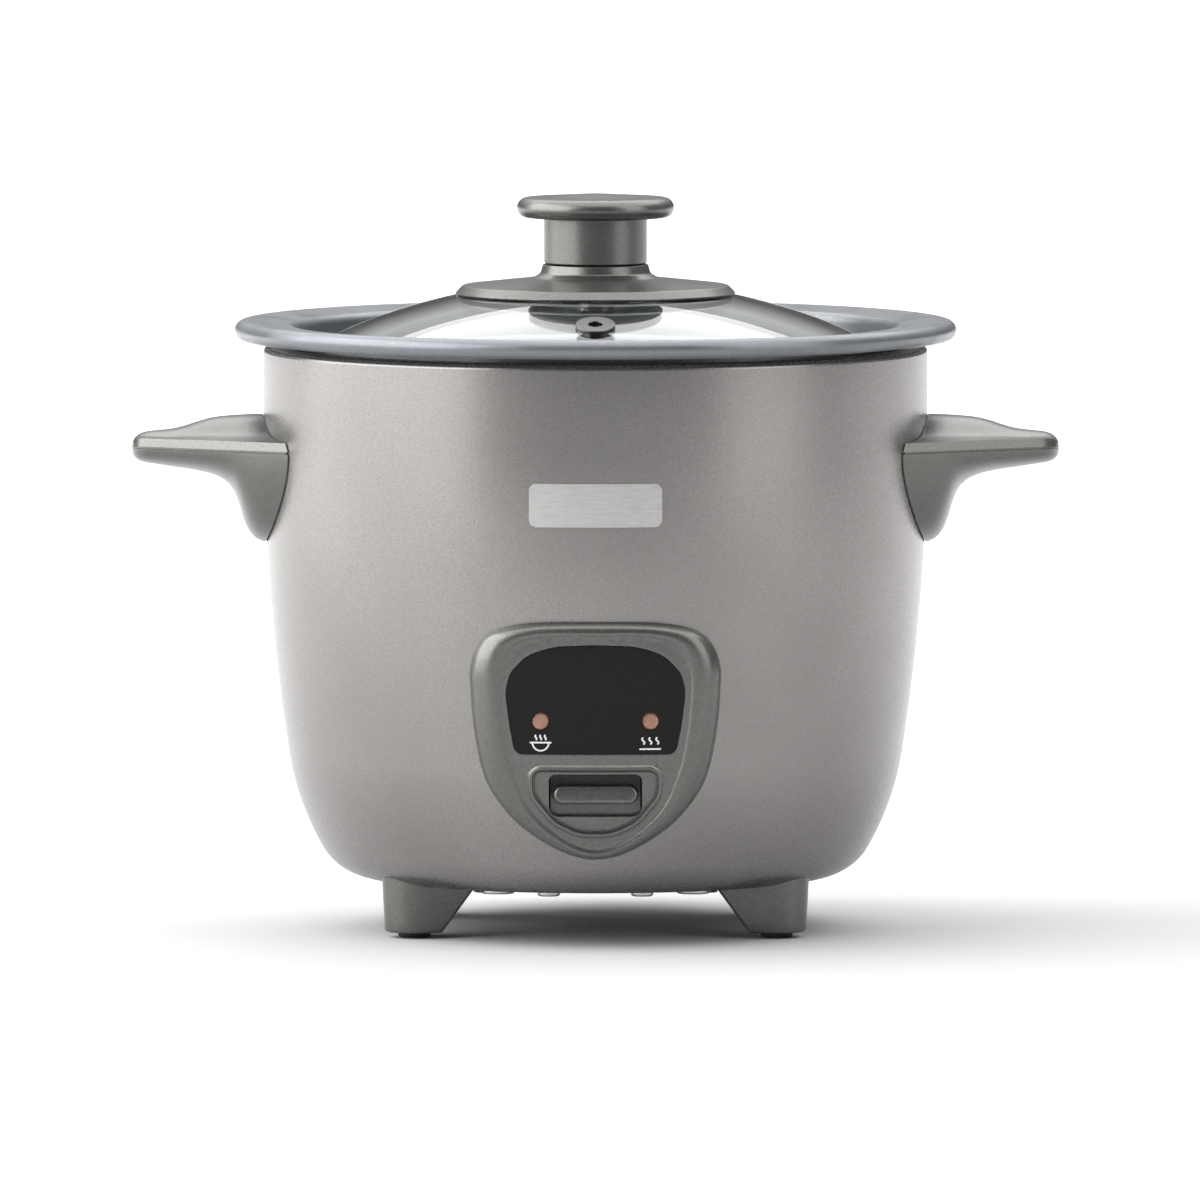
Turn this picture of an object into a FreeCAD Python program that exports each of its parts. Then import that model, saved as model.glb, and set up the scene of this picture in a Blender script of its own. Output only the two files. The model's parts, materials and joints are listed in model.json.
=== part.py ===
import FreeCAD, Part
import math
import os

# A small countertop rice cooker in millimetres, +Z up, its front facing -Y.
# The origin is on the table, on the axis of the body.

# ---- driving dimensions -------------------------------------------------------------------
# outer shell: a deep-drawn steel tub, described by its outside
BODY_R = 71.8
SHELL_TOP = 126.1
SHELL_BOTTOM = 11.2
SHELL_WALL = 0.8
BELLY_START = 106.4
BELLY_ARCS = [(436.0, 9.0), (60.0, 30.0), (12.8, 90.0)]
LIP_R = 68.2
BASE_OPENING_R = 31.5

# heating chamber liner and heating plate
LINER_R = 66.9
LINER_WALL = 0.6
LINER_WAIST = 75.0
LINER_SHELF = 44.6
LINER_HOLE_R = 17.0
PLATE_R = 47.0
PLATE_TOP = 54.2
PLATE_BOTTOM = 46.4
PLATE_HOLE_R = 14.0
ELEMENT_RING_R = 33.0
ELEMENT_TUBE_R = 2.8
ELEMENT_Z = 50.4
THERMOSTAT_AT = (-29.0, -4.0)
FUSE_AT = (33.0, -2.0)

# cooking pot: one deep-drawn sheet with a rolled rim
POT_WALL = 1.5
POT_FLOOR = 56.0
POT_R = 61.7
POT_CORNER = 20.0
LEDGE_Z = 121.6
MOUTH_R = 64.7
FLANGE_Z = 130.6
BEAD_R = 2.05
BEAD_CENTRE = (76.0, 129.5)

# glass lid and its knob
DOME_R = 140.0
DOME_TOP = 140.3
GLASS = 4.0
LID_EDGE_R = 61.5
KNOB_BASE_R = 30.3
KNOB_SEAM = 143.6
KNOB_STEM_R = 11.15
KNOB_CAP_R = 17.0
KNOB_CAP_Z = 153.8
KNOB_CAP_THICK = 4.3
KNOB_TOP = 158.9
KNOB_BORE_R = 2.0
VENT_Y = -46.0
VENT_HOLE_R = 2.4

# side handles
HANDLE_TIP = 100.35
HANDLE_RIM_Z = 106.5
HANDLE_NOSE = 96.0
HANDLE_MIDDLE_Z = 103.8
HANDLE_SCREW_Y = 10.0
HANDLE_SCREW_Z = 98.0

# front control panel
FACE_AXIS_Y = 38.0
FACE_PROFILE = [(72.2, 76.0), (71.4, 47.0), (64.5, 15.0)]
PANEL_WALL = 2.0
LAMP_X = 11.7
LAMP_Z = 49.9
LAMP_R = 1.95
WINDOW_RECESS = 0.3
WINDOW_THICK = 1.5
RECESS_DEPTH = 1.3
SLOT_HALF_X = 10.1
SLOT_LOW = 28.8
SLOT_HIGH = 38.3

# switch lever
PIVOT = (-30.0, 31.0)
PADDLE_R = 34.5
RIDGE_R = 38.6
PIN_R = 1.5
ROD_R = 1.5
MAGNET_Z = 40.0

# feet
FOOT_X = 39.0
FOOT_Y = 27.7
FOOT_BOTTOM = 1.2
LOW_HEAD = 1.0
PAD_R = 3.5
STANDOFFS = [(sx * 21.0, sy * 36.4) for sx in (-1, 1) for sy in (-1, 1)]

# rear appliance inlet
INLET_Z = 33.0
INLET_FACE = 71.0
SOCKET_FLOOR = 56.0
SOCKET_HALF_X = 14.6
SOCKET_HALF_Z = 11.0

UP = FreeCAD.Vector(0, 0, 1)
ORIGIN = FreeCAD.Vector(0, 0, 0)


# ---- small geometry helpers -------------------------------------------------------------------
def vec(x, y, z):
    return FreeCAD.Vector(x, y, z)


def on_xz(r, z):
    """A point of a profile in the XZ plane."""
    return vec(r, 0, z)


def cyl(r, z0, z1, x=0.0, y=0.0):
    return Part.makeCylinder(r, z1 - z0, vec(x, y, z0), UP)


def ring(r_in, r_out, z0, z1, x=0.0, y=0.0):
    return cyl(r_out, z0, z1, x, y).cut(cyl(r_in, z0 - 1, z1 + 1, x, y))


def rod(r, start, end):
    """A cylinder between two points."""
    run = vec(*end) - vec(*start)
    return Part.makeCylinder(r, run.Length, vec(*start), run)


def block(xs, ys, zs):
    size = [b - a for a, b in (xs, ys, zs)]
    return Part.makeBox(*size, vec(xs[0], ys[0], zs[0]))


def mirror_x(shape):
    return shape.mirror(ORIGIN, vec(1, 0, 0))


def corner_arc(before, corner, after, radius):
    """The arc that rounds one corner of a polyline, with its two tangent points."""
    to_before = (before - corner).normalize()
    to_after = (after - corner).normalize()
    half = to_before.getAngle(to_after) / 2
    start = corner + to_before * (radius / math.tan(half))
    end = corner + to_after * (radius / math.tan(half))
    bisector = (to_before + to_after).normalize()
    middle = corner + bisector * (radius / math.sin(half) - radius)
    return start, middle, end


def rounded(points, closed=False, plane=on_xz):
    """A wire through points (a, b) or (a, b, radius); a radius rounds that corner."""
    corners = [(plane(p[0], p[1]), p[2] if len(p) > 2 else 0.0) for p in points]
    count = len(corners)
    edges = []
    stops = []
    for i, (corner, radius) in enumerate(corners):
        if radius and (closed or 0 < i < count - 1):
            before = corners[i - 1][0]
            after = corners[(i + 1) % count][0]
            start, middle, end = corner_arc(before, corner, after, radius)
            edges.append(Part.Arc(start, middle, end).toShape())
            stops.append((start, end))
        else:
            stops.append((corner, corner))
    for i in range(count if closed else count - 1):
        start = stops[i][1]
        end = stops[(i + 1) % count][0]
        if start.distanceToPoint(end) > 1e-6:
            edges.append(Part.makeLine(start, end))
    return Part.Wire(Part.__sortEdges__(edges))


def turn(wire):
    """The solid of revolution of a closed XZ profile about the body's axis."""
    return Part.Face(wire).revolve(ORIGIN, UP, 360)


def turned(points, x=0.0, y=0.0):
    """The solid turned from a closed profile of (r, z) points about a vertical axis at x, y."""
    solid = turn(rounded(points, closed=True))
    solid.translate(vec(x, y, 0))
    return solid


def parallel(points, distance):
    """An open polyline moved to its left, its rounded corners staying concentric."""
    moved = []
    for i, (x, z, *radius) in enumerate(points):
        steps = [(points[i - 1], points[i])] if i else []
        steps += [(points[i], points[i + 1])] if i + 1 < len(points) else []
        headings = [math.atan2(b[1] - a[1], b[0] - a[0]) for a, b in steps]
        bend = (headings[-1] - headings[0] + math.pi) % (2 * math.pi) - math.pi
        sideways = headings[0] + bend / 2 + math.pi / 2
        reach = distance / math.cos(bend / 2)
        outwards = -distance if bend > 0 else distance
        corner = radius[0] + outwards if radius else 0.0
        moved.append((x + reach * math.cos(sideways), z + reach * math.sin(sideways),
                      max(corner, 0.0)))
    return moved


def sheet(points, thickness):
    """Sheet metal: an open profile thickened to its left and turned about the body's axis."""
    return turned(points + parallel(points, thickness)[::-1])


def prism_y(wire, y0, y1):
    """An outline drawn in the XZ plane, extruded from y0 to y1."""
    face = Part.Face(wire)
    face.translate(vec(0, y0, 0))
    return face.extrude(vec(0, y1 - y0, 0))


def mirrored_curve(half, closed=True):
    """A smooth curve through the right half of a symmetric outline and its mirror image."""
    right = [on_xz(x, z) for x, z in half]
    left = [on_xz(-x, z) for x, z in reversed(half) if x > 0]
    curve = Part.BSplineCurve()
    curve.interpolate(right + left, PeriodicFlag=closed)
    return curve.toShape()


def fastener(head, direction, head_r, head_h, shank_r, length):
    """A pan-head screw: its head sits at point `head`, and its shank runs along `direction`."""
    along = vec(*direction).normalize()
    seat = vec(*head)
    top = seat - along * head_h
    body = Part.makeCylinder(shank_r, length, seat, along)
    cap = Part.makeCylinder(head_r, head_h, top, along)
    crown_edge = [e for e in cap.Edges if e.CenterOfMass.distanceToPoint(top) < 0.01]
    cap = cap.makeFillet(head_h * 0.45, crown_edge)
    side = along.cross(UP if abs(along.z) < 0.5 else vec(1, 0, 0)).normalize()
    recess = Part.makeBox(head_r * 1.2, head_r * 0.28, head_h * 1.1)
    recess.translate(vec(-head_r * 0.6, -head_r * 0.14, -head_h * 0.55))
    cross = recess.fuse(recess.rotated(ORIGIN, UP, 90))
    cross.Placement = FreeCAD.Placement(top, FreeCAD.Rotation(side, along.cross(side), along))
    return body.fuse(cap).cut(cross)


def group(shapes):
    return Part.makeCompound(list(shapes))


# ---- housing ------------------------------------------------------------------------------------
def shell_outside():
    """The shell's outside as a polyline from its lip to its base opening, one corner per arc."""
    points = [(LIP_R, SHELL_TOP), (BODY_R, SHELL_TOP, 1.4)]
    r, z, angle = BODY_R, BELLY_START, 0.0
    for radius, end_angle in BELLY_ARCS:
        reach = radius * math.tan(math.radians((end_angle - angle) / 2))
        r -= reach * math.sin(math.radians(angle))
        z -= reach * math.cos(math.radians(angle))
        points.append((r, z, radius))
        r -= reach * math.sin(math.radians(end_angle))
        z -= reach * math.cos(math.radians(end_angle))
        angle = end_angle
    points.append((BASE_OPENING_R, z))
    return points


SHELL_OUTSIDE = shell_outside()
SHELL_BASE = SHELL_OUTSIDE[-1][1]


def solid_body(grow=0.0):
    """Everything inside the shell's outer surface, grown outwards by a little if asked."""
    outside = parallel(SHELL_OUTSIDE, grow)
    return turned([(0, outside[0][1])] + outside + [(0, outside[-1][1])])


def outer_shell():
    shell = sheet(SHELL_OUTSIDE, -SHELL_WALL)
    lever_opening = block((-11.0, 11.0), (-BODY_R, -50), (24.4, 42.0))
    lamp_opening = block((-15.5, 15.5), (-BODY_R, -50), (45.5, 54.0))
    fasteners = [plate_screws(), foot_screws(), bottom_cover_screws(), handle_screws(),
                 bezel_screws(), inlet_screws(), switch_rivets()]
    socket_opening = block((-SOCKET_HALF_X, SOCKET_HALF_X), (50, BODY_R),
                           (INLET_Z - SOCKET_HALF_Z, INLET_Z + SOCKET_HALF_Z))
    openings = [lever_opening, lamp_opening, socket_opening]
    return shell.cut(group(fasteners + openings))


def chamber_liner():
    """The steel can that the pot hangs in: it hooks under the shell's lip and carries the plate."""
    inside = [(70.1, SHELL_TOP - SHELL_WALL), (LINER_R, SHELL_TOP - SHELL_WALL, 1.0),
              (LINER_R, LINER_WAIST, 30.0), (54.0, LINER_SHELF, 3.0), (LINER_HOLE_R, LINER_SHELF)]
    liner = sheet(inside, LINER_WALL)
    leg_holes = [cyl(4.0, 40, 50, x, y) for x, y in element_ends()]
    thermostat_hole = cyl(8.4, 40, 50, *THERMOSTAT_AT)
    fasteners = [plate_screws(), bracket_screws()]
    return liner.cut(group(leg_holes + [thermostat_hole] + fasteners))


def heating_plate():
    """The cast aluminium hotplate, with bosses underneath that stand on the liner's shelf."""
    plate = turned([(PLATE_HOLE_R, PLATE_BOTTOM), (PLATE_R - 2, PLATE_BOTTOM),
                    (PLATE_R, PLATE_BOTTOM + 2), (PLATE_R, PLATE_TOP, 2.5),
                    (PLATE_HOLE_R, PLATE_TOP, 0.6)])
    bosses = [cyl(4.5, LINER_SHELF, PLATE_BOTTOM + 0.5, x, y) for x, y in STANDOFFS]
    seat = cyl(8.0, PLATE_BOTTOM, PLATE_BOTTOM + 0.8, *THERMOSTAT_AT)
    return plate.multiFuse(bosses).cut(group([heater_element(), plate_screws(), seat]))


def element_ends():
    """Where the two cold ends of the heating element turn down, at the back of the plate."""
    half_gap = math.radians(13.0)
    return [(sign * ELEMENT_RING_R * math.sin(half_gap), ELEMENT_RING_R * math.cos(half_gap))
            for sign in (-1, 1)]


def heater_element():
    """A sheathed element cast into the plate, with two legs that come out of its underside."""
    coil = Part.makeTorus(ELEMENT_RING_R, ELEMENT_TUBE_R, vec(0, 0, ELEMENT_Z), UP, -180, 180, 334)
    coil = coil.rotated(ORIGIN, UP, 103)
    legs = [cyl(ELEMENT_TUBE_R, 38.0, ELEMENT_Z, x, y) for x, y in element_ends()]
    knees = [Part.makeSphere(ELEMENT_TUBE_R, vec(x, y, ELEMENT_Z)) for x, y in element_ends()]
    pins = [cyl(1.2, 33.0, 38.5, x, y) for x, y in element_ends()]
    return coil.multiFuse(legs + knees + pins)


def plate_standoffs():
    posts = [ring(2.1, 4.0, SHELL_BASE + SHELL_WALL, LINER_SHELF - LINER_WALL, x, y)
             for x, y in STANDOFFS]
    return group(posts)


def plate_screws():
    return group(fastener((x, y, SHELL_BASE), (0, 0, 1), 3.6, LOW_HEAD, 2.0, 38.5)
                 for x, y in STANDOFFS)


def keep_warm_thermostat():
    """A disc thermostat pressed against the underside of the plate, with two blade terminals."""
    can = turned([(0, 41.4), (6.6, 41.4), (6.6, 43.0), (8.0, 43.0), (8.0, PLATE_BOTTOM + 0.8, 0.6),
                  (0, PLATE_BOTTOM + 0.8)], *THERMOSTAT_AT)
    x, y = THERMOSTAT_AT
    blades = [block((x + s * 4.4 - 0.4, x + s * 4.4 + 0.4), (y - 2, y + 2), (36.0, 42.0))
              for s in (-1, 1)]
    return can.multiFuse(blades)


def thermal_fuse():
    x, y = FUSE_AT
    z = LINER_SHELF - LINER_WALL - 2.2
    barrel = rod(2.2, (x, y - 6, z), (x, y + 6, z))
    leads = rod(0.6, (x, y - 14, z), (x, y + 14, z))
    return barrel.fuse(leads)


def fuse_clip():
    """A strap that holds the thermal fuse up against the liner."""
    x, y = FUSE_AT
    top = LINER_SHELF - LINER_WALL
    saddle = block((x - 3.0, x + 3.0), (y - 2.5, y + 2.5), (top - 5.2, top))
    ears = block((x - 7.0, x + 7.0), (y - 2.5, y + 2.5), (top - 0.8, top))
    hollow = block((x - 2.2, x + 2.2), (y - 3, y + 3), (top - 2.2, top + 1))
    tunnel = rod(2.2, (x, y - 3, top - 2.2), (x, y + 3, top - 2.2))
    return saddle.fuse(ears).cut(hollow.fuse(tunnel))


def foot_outline(nose_r, run, z):
    """A foot's plan: a round nose and two faces that spread inwards, 15 degrees each side."""
    spread = math.radians(15.0)
    side = [vec(nose_r * math.sin(spread) - run * math.cos(spread),
                nose_r * math.cos(spread) + run * math.sin(spread), z),
            vec(nose_r * math.sin(spread), nose_r * math.cos(spread), z)]
    mirrored = [vec(p.x, -p.y, z) for p in reversed(side)]
    nose = Part.Arc(side[1], vec(nose_r, 0, z), mirrored[0]).toShape()
    return Part.Wire([Part.makeLine(side[0], side[1]), nose,
                      Part.makeLine(mirrored[0], mirrored[1]), Part.makeLine(mirrored[1], side[0])])


def foot(sx, sy):
    """One moulded foot, its nose pointing out from the axis, and its top shaped to the shell."""
    top = SHELL_BOTTOM + 4.0
    wedge = Part.makeLoft([foot_outline(6.4, 5.0, FOOT_BOTTOM), foot_outline(7.1, 15.5, top)], True)
    wedge = wedge.rotated(ORIGIN, UP, math.degrees(math.atan2(sy * FOOT_Y, sx * FOOT_X)))
    wedge.translate(vec(sx * FOOT_X, sy * FOOT_Y, 0))
    return wedge.cut(solid_body()).cut(group([foot_pad(sx, sy), foot_screw(sx, sy)]))


def foot_pad(sx, sy):
    """A rubber pad with a stem that plugs into the foot."""
    return turned([(0, 0), (PAD_R - 0.3, 0), (PAD_R, 0.5), (PAD_R, FOOT_BOTTOM), (1.4, FOOT_BOTTOM),
                   (1.4, 4.0), (0, 4.0)], sx * FOOT_X, sy * FOOT_Y)


def foot_screw(sx, sy):
    """The screw that holds a foot, driven down from inside the shell."""
    reach = 0.86
    return fastener((sx * FOOT_X * reach, sy * FOOT_Y * reach, SHELL_BASE + SHELL_WALL),
                    (0, 0, -1), 2.8, 1.8, 1.4, 6.0)


def foot_screws():
    return group(foot_screw(sx, sy) for sx in (-1, 1) for sy in (-1, 1))


def bottom_cover():
    """The vented steel disc that closes the opening in the shell's base."""
    cover = cyl(36.0, SHELL_BASE - 0.8, SHELL_BASE)
    slots = []
    for i in range(12):
        slot = block((13.0, 27.0), (-1.2, 1.2), (0, 20))
        slots.append(slot.rotated(ORIGIN, UP, 30 * i + 15))
    return cover.cut(group(slots + [bottom_cover_screws()]))


def bottom_cover_screws():
    across = 34.0 * math.sqrt(0.5)
    return group(fastener((sx * across, sy * across, SHELL_BASE - 0.8), (0, 0, 1),
                          2.4, LOW_HEAD, 1.2, 4.5) for sx in (-1, 1) for sy in (-1, 1))


# ---- side handles -------------------------------------------------------------------------------
HANDLE_CROWN = [(60.0, 110.8), (71.9, 111.2), (78.1, 111.0), (84.3, 110.4), (94.7, 108.2),
                (101.0, 106.7)]
HANDLE_KEEL = [(60.0, 82.5), (71.0, 83.4), (73.9, 84.6), (75.8, 87.4), (77.0, 91.4), (78.3, 94.9),
               (80.6, 97.2), (84.5, 98.7), (92.6, 100.0), (101.0, 101.2)]


def along_curve(points, x):
    """The height of a smooth curve through (x, z) points at one x."""
    curve = Part.BSplineCurve()
    curve.interpolate([on_xz(*p) for p in points])
    hit = curve.intersectCC(Part.LineSegment(on_xz(x, 70), on_xz(x, 120)))[0]
    return hit.Z


def handle_section(x):
    """One cross-section of the handle: a low crown above its rim and half an ellipse below."""
    past = max(0.0, (x - HANDLE_NOSE) / (HANDLE_TIP - HANDLE_NOSE))
    swell = (1 - past ** 3) ** (1 / 3)
    half = (28.0 - (x - 66.1) * 0.6126) * swell
    rim = HANDLE_MIDDLE_Z + (HANDLE_RIM_Z - HANDLE_MIDDLE_Z) * swell
    crown = HANDLE_MIDDLE_Z + (along_curve(HANDLE_CROWN, x) - HANDLE_MIDDLE_Z) * swell
    keel = HANDLE_MIDDLE_Z + (along_curve(HANDLE_KEEL, x) - HANDLE_MIDDLE_Z) * swell
    top = Part.Arc(vec(x, -half, rim), vec(x, 0, crown), vec(x, half, rim)).toShape()
    angles = [math.radians(180 + 15 * i) for i in range(13)]
    under = Part.BSplineCurve()
    under.interpolate([vec(x, half * math.cos(a), rim + (rim - keel) * math.sin(a))
                       for a in angles])
    return Part.Wire([top, under.toShape()])


def right_handle():
    """A moulded handle whose inner end is shaped to the shell."""
    stations = (62, 68, 72, 74, 75.5, 77, 78.5, 80.5, 84, 90, 96, 98, 99.3, 100, HANDLE_TIP - 0.05)
    body = Part.makeLoft([handle_section(x) for x in stations], True, False)
    return body.cut(solid_body(0.05)).cut(handle_screw_pair())


def left_handle():
    return mirror_x(right_handle())


def handle_screw_pair():
    return group(fastener((69.6, y, HANDLE_SCREW_Z), (1, 0, 0), 2.6, 1.7, 1.5, 9.0)
                 for y in (-HANDLE_SCREW_Y, HANDLE_SCREW_Y))


def handle_screws():
    right = handle_screw_pair()
    return group(right.Solids + mirror_x(right).Solids)


# ---- front control panel --------------------------------------------------------------------------
def face_solid(inset=0.0):
    """The space behind the panel's gently curved face, or behind a surface inset from it."""
    profile = [on_xz(r + FACE_AXIS_Y - inset, z) for r, z in FACE_PROFILE]
    top, _, bottom = profile
    edges = [Part.Arc(*profile).toShape(), Part.makeLine(bottom, on_xz(0, bottom.z)),
             Part.makeLine(on_xz(0, bottom.z), on_xz(0, top.z)),
             Part.makeLine(on_xz(0, top.z), top)]
    solid = turn(Part.Wire(edges))
    solid.translate(vec(0, FACE_AXIS_Y, 0))
    return solid


def panel_outline(inset=0.0):
    """The panel's outline: a shield with round shoulders, optionally drawn in from the edge."""
    half = [(0, 71.0), (13.0, 70.75), (20.6, 69.5), (25.2, 65.6), (26.8, 59.0), (26.2, 49.4),
            (23.2, 36.1), (16.6, 27.3), (9.0, 22.0), (0, 19.5)]
    middle = (half[0][1] + half[-1][1]) / 2
    wide = 1 - inset / 26.8
    tall = 1 - inset / (half[0][1] - middle)
    return Part.Wire(mirrored_curve([(x * wide, middle + (z - middle) * tall) for x, z in half]))


def window_outline():
    """The dark display window: a flat bottom with small corners under an arched top."""
    side = (18.2, 49.0)
    arch = [side, (19.1, 56.0), (17.6, 61.0), (13.0, 64.3), (0, 66.2)]
    feet = rounded([side, (17.2, 42.8, 2.0), (-17.2, 42.8, 2.0), (-side[0], side[1])])
    return Part.Wire(Part.__sortEdges__([mirrored_curve(arch, closed=False)] + feet.Edges))


def recess_outline():
    """The D-shaped recess around the switch: a flat top over a round bottom."""
    bottom = Part.Arc(on_xz(14.05, 35.4), on_xz(0, 25.3), on_xz(-14.05, 35.4)).toShape()
    top = rounded([(14.05, 35.4), (14.05, 39.0, 1.8), (-14.05, 39.0, 1.8), (-14.05, 35.4)])
    return Part.Wire(Part.__sortEdges__([bottom] + top.Edges))


def slot_outline():
    radius = 1.3
    return rounded([(SLOT_HALF_X, SLOT_LOW, radius), (SLOT_HALF_X, SLOT_HIGH, radius),
                    (-SLOT_HALF_X, SLOT_HIGH, radius), (-SLOT_HALF_X, SLOT_LOW, radius)],
                   closed=True)


def control_bezel():
    """The moulded front panel: hollow behind, with a window seat, a switch slot and screw bosses."""
    outside = prism_y(panel_outline(), -80, -45).common(face_solid())
    rim = [e for e in outside.Edges if e.BoundBox.YMax < -58]
    outside = outside.makeFillet(2.0, rim)
    hollow = prism_y(panel_outline(2.2), -80, -45).common(face_solid(PANEL_WALL + 1.3))
    bosses = [rod(3.0, (x, -60, z), (x, -80, z)) for x, z in BEZEL_SCREWS]
    posts = [rod(2.2, (x, -61.2, LAMP_Z), (x, -80, LAMP_Z)) for x in (-5.5, 5.5)]
    hollow = hollow.cut(group(bosses + posts).common(face_solid()))
    shell_clearance = solid_body(0.05).cut(group(posts))
    bezel = outside.cut(shell_clearance).cut(hollow)
    window_seat = prism_y(window_outline(), -80, -45).cut(
        face_solid(WINDOW_RECESS + WINDOW_THICK))
    recess = prism_y(recess_outline(), -80, -50).cut(face_solid(RECESS_DEPTH))
    slot = prism_y(slot_outline(), -80, -50)
    paddle_room = along_x(PADDLE_R + 0.35, 10.0, *PIVOT)
    paddle_room = paddle_room.common(block((-10.0, 10.0), (-80, -50), (24.8, 42.0)))
    cut_away = [window_seat, recess, slot, paddle_room, cook_lamp(), warm_lamp(), bezel_screws(),
                lamp_board_screws()]
    return bezel.cut(group(cut_away))


BEZEL_SCREWS = [(-20.0, 58.0), (20.0, 58.0), (-17.6, 36.0), (17.6, 36.0)]


def bezel_screws():
    """Screws from inside the shell into the bezel's bosses."""
    screws = []
    for x, z in BEZEL_SCREWS:
        seat = -64.0 if z > 50 else -61.6
        screws.append(fastener((x, seat, z), (0, -1, 0), 2.4, 1.5, 1.2, 4.6))
    return group(screws)


def indicator_window():
    """The dark lens plate, flush in the bezel, with holes for the two lamps."""
    lens = prism_y(window_outline(), -80, -45).common(face_solid(WINDOW_RECESS))
    lens = lens.cut(face_solid(WINDOW_RECESS + WINDOW_THICK))
    lamps = [rod(LAMP_R, (x, -55, LAMP_Z), (x, -80, LAMP_Z)) for x in (-LAMP_X, LAMP_X)]
    return lens.cut(group(lamps))


def lamp(x):
    """A neon lamp in a tinted cap: the cap shows in the window, and its leads end at the board."""
    front = -(FACE_PROFILE[1][0] - 1.0)
    cap = rod(LAMP_R, (x, -62.5, LAMP_Z), (x, front, LAMP_Z))
    cap = cap.makeFillet(0.5, [e for e in cap.Edges if abs(e.CenterOfMass.y - front) < 0.01])
    flange = rod(2.6, (x, -62.5, LAMP_Z), (x, -61.2, LAMP_Z))
    leads = [rod(0.4, (x + s, -61.2, LAMP_Z), (x + s, -58.6, LAMP_Z)) for s in (-1.0, 1.0)]
    return cap.multiFuse([flange] + leads)


def cook_lamp():
    return lamp(-LAMP_X)


def warm_lamp():
    return lamp(LAMP_X)


def lamp_board():
    board = block((-15.0, 15.0), (-61.2, -60.0), (46.3, 53.3))
    return board.cut(group([cook_lamp(), warm_lamp(), lamp_board_screws()]))


def lamp_board_screws():
    return group(fastener((x, -60.0, LAMP_Z), (0, -1, 0), 1.9, 1.1, 0.9, 6.0)
                 for x in (-5.5, 5.5))


def name_plate():
    """A plain blank plate, bent to the shell above the panel."""
    outline = rounded([(14.2, 91.35, 1.6), (14.2, 100.65, 1.6), (-14.2, 100.65, 1.6),
                       (-14.2, 91.35, 1.6)], closed=True)
    return prism_y(outline, -80, -50).common(solid_body(0.3)).cut(solid_body())


# ---- switch lever, magnet and sensor --------------------------------------------------------------
def along_x(r, half_length, y, z):
    return rod(r, (-half_length, y, z), (half_length, y, z))


def cook_lever():
    """The stamped lever: a strip with a pivot barrel, and a fork around the magnet's rod."""
    y, z = PIVOT
    strip = block((-5.0, 5.0), (-55.0, 4.5), (z - 0.6, z + 0.6))
    barrel = along_x(2.8, 7.8, y, z)
    fork = block((-1.9, 1.9), (-2.2, 6.0), (z - 2, z + 2))
    return strip.fuse(barrel).cut(group([fork, along_x(PIN_R + 0.06, 12.0, y, z)]))


def cook_button():
    """The switch paddle: a curved shield behind the slot, and a round-ended ridge for a finger."""
    y, z = PIVOT
    shield = along_x(PADDLE_R, 9.6, y, z).cut(along_x(PADDLE_R - 1.6, 12.0, y, z))
    shield = shield.common(block((-9.6, 9.6), (-80, -50), (27.8, 41.4)))
    ridge = prism_y(rounded([(9.05, 31.9, 1.95), (9.05, 35.9, 1.95), (-9.05, 35.9, 1.95),
                             (-9.05, 31.9, 1.95)], closed=True), -80, -60)
    ridge = ridge.common(along_x(RIDGE_R, 12.0, y, z)).cut(along_x(PADDLE_R - 0.5, 12.0, y, z))
    ridge = ridge.makeFillet(0.9, [e for e in ridge.Edges if e.BoundBox.YMax < y - RIDGE_R + 0.5])
    stem = block((-6.4, 6.4), (y - PADDLE_R + 1.0, -50.0), (z - 2.0, z + 2.0))
    stem = stem.common(along_x(PADDLE_R - 0.5, 12.0, y, z))
    return shield.multiFuse([ridge, stem]).cut(cook_lever())


def lever_bracket():
    """A bracket under the liner: two cheeks that carry the lever's pin."""
    y, z = PIVOT
    top = LINER_SHELF - LINER_WALL
    roof = block((-9.4, 9.4), (y - 6.0, y + 6.0), (top - 1.2, top))
    cheeks = [block((min(s * 8.2, s * 9.4), max(s * 8.2, s * 9.4)), (y - 4.5, y + 4.5),
                    (z - 4.0, top - 1.2)) for s in (-1, 1)]
    return roof.multiFuse(cheeks).cut(group([lever_pin(), bracket_screws()]))


def lever_pin():
    y, z = PIVOT
    head = rod(2.4, (9.4, y, z), (10.4, y, z))
    clip = rod(2.4, (-10.4, y, z), (-9.4, y, z))
    return along_x(PIN_R, 10.4, y, z).multiFuse([head, clip])


def bracket_screws():
    y, _ = PIVOT
    return group(fastener((0, y + s * 4.0, LINER_SHELF - LINER_WALL - 1.2), (0, 0, 1),
                          2.2, 1.2, 1.1, 2.9) for s in (-1, 1))


def magnet_rod():
    """The rod that the lever lifts, with a collar above and below the lever's fork."""
    stem = cyl(ROD_R, 26.0, MAGNET_Z)
    collars = [cyl(4.2, 32.2, 33.0), cyl(3.4, 28.8, 29.8)]
    return stem.multiFuse(collars)


def magnet():
    top = MAGNET_Z + 5.0
    return turned([(0, MAGNET_Z), (8.5, MAGNET_Z, 0.4), (8.5, top, 0.4), (0, top)])


def coil_spring(radius, wire_r, z0, z1, turns):
    """A compression spring of short straight lengths, standing between z0 and z1."""
    per_turn = 14
    steps = turns * per_turn
    rise = (z1 - z0 - 2 * wire_r) / steps
    stops = []
    for i in range(steps + 1):
        angle = 2 * math.pi * i / per_turn
        stops.append(vec(radius * math.cos(angle), radius * math.sin(angle), z0 + wire_r + rise * i))
    section = Part.Wire(Part.makeCircle(wire_r, stops[0], stops[1] - stops[0]))
    right_corners = 1
    return Part.makePolygon(stops).makePipeShell([section], True, False, right_corners)


def magnet_spring():
    return coil_spring(3.0, 0.35, 33.05, 37.95, 4)


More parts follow.
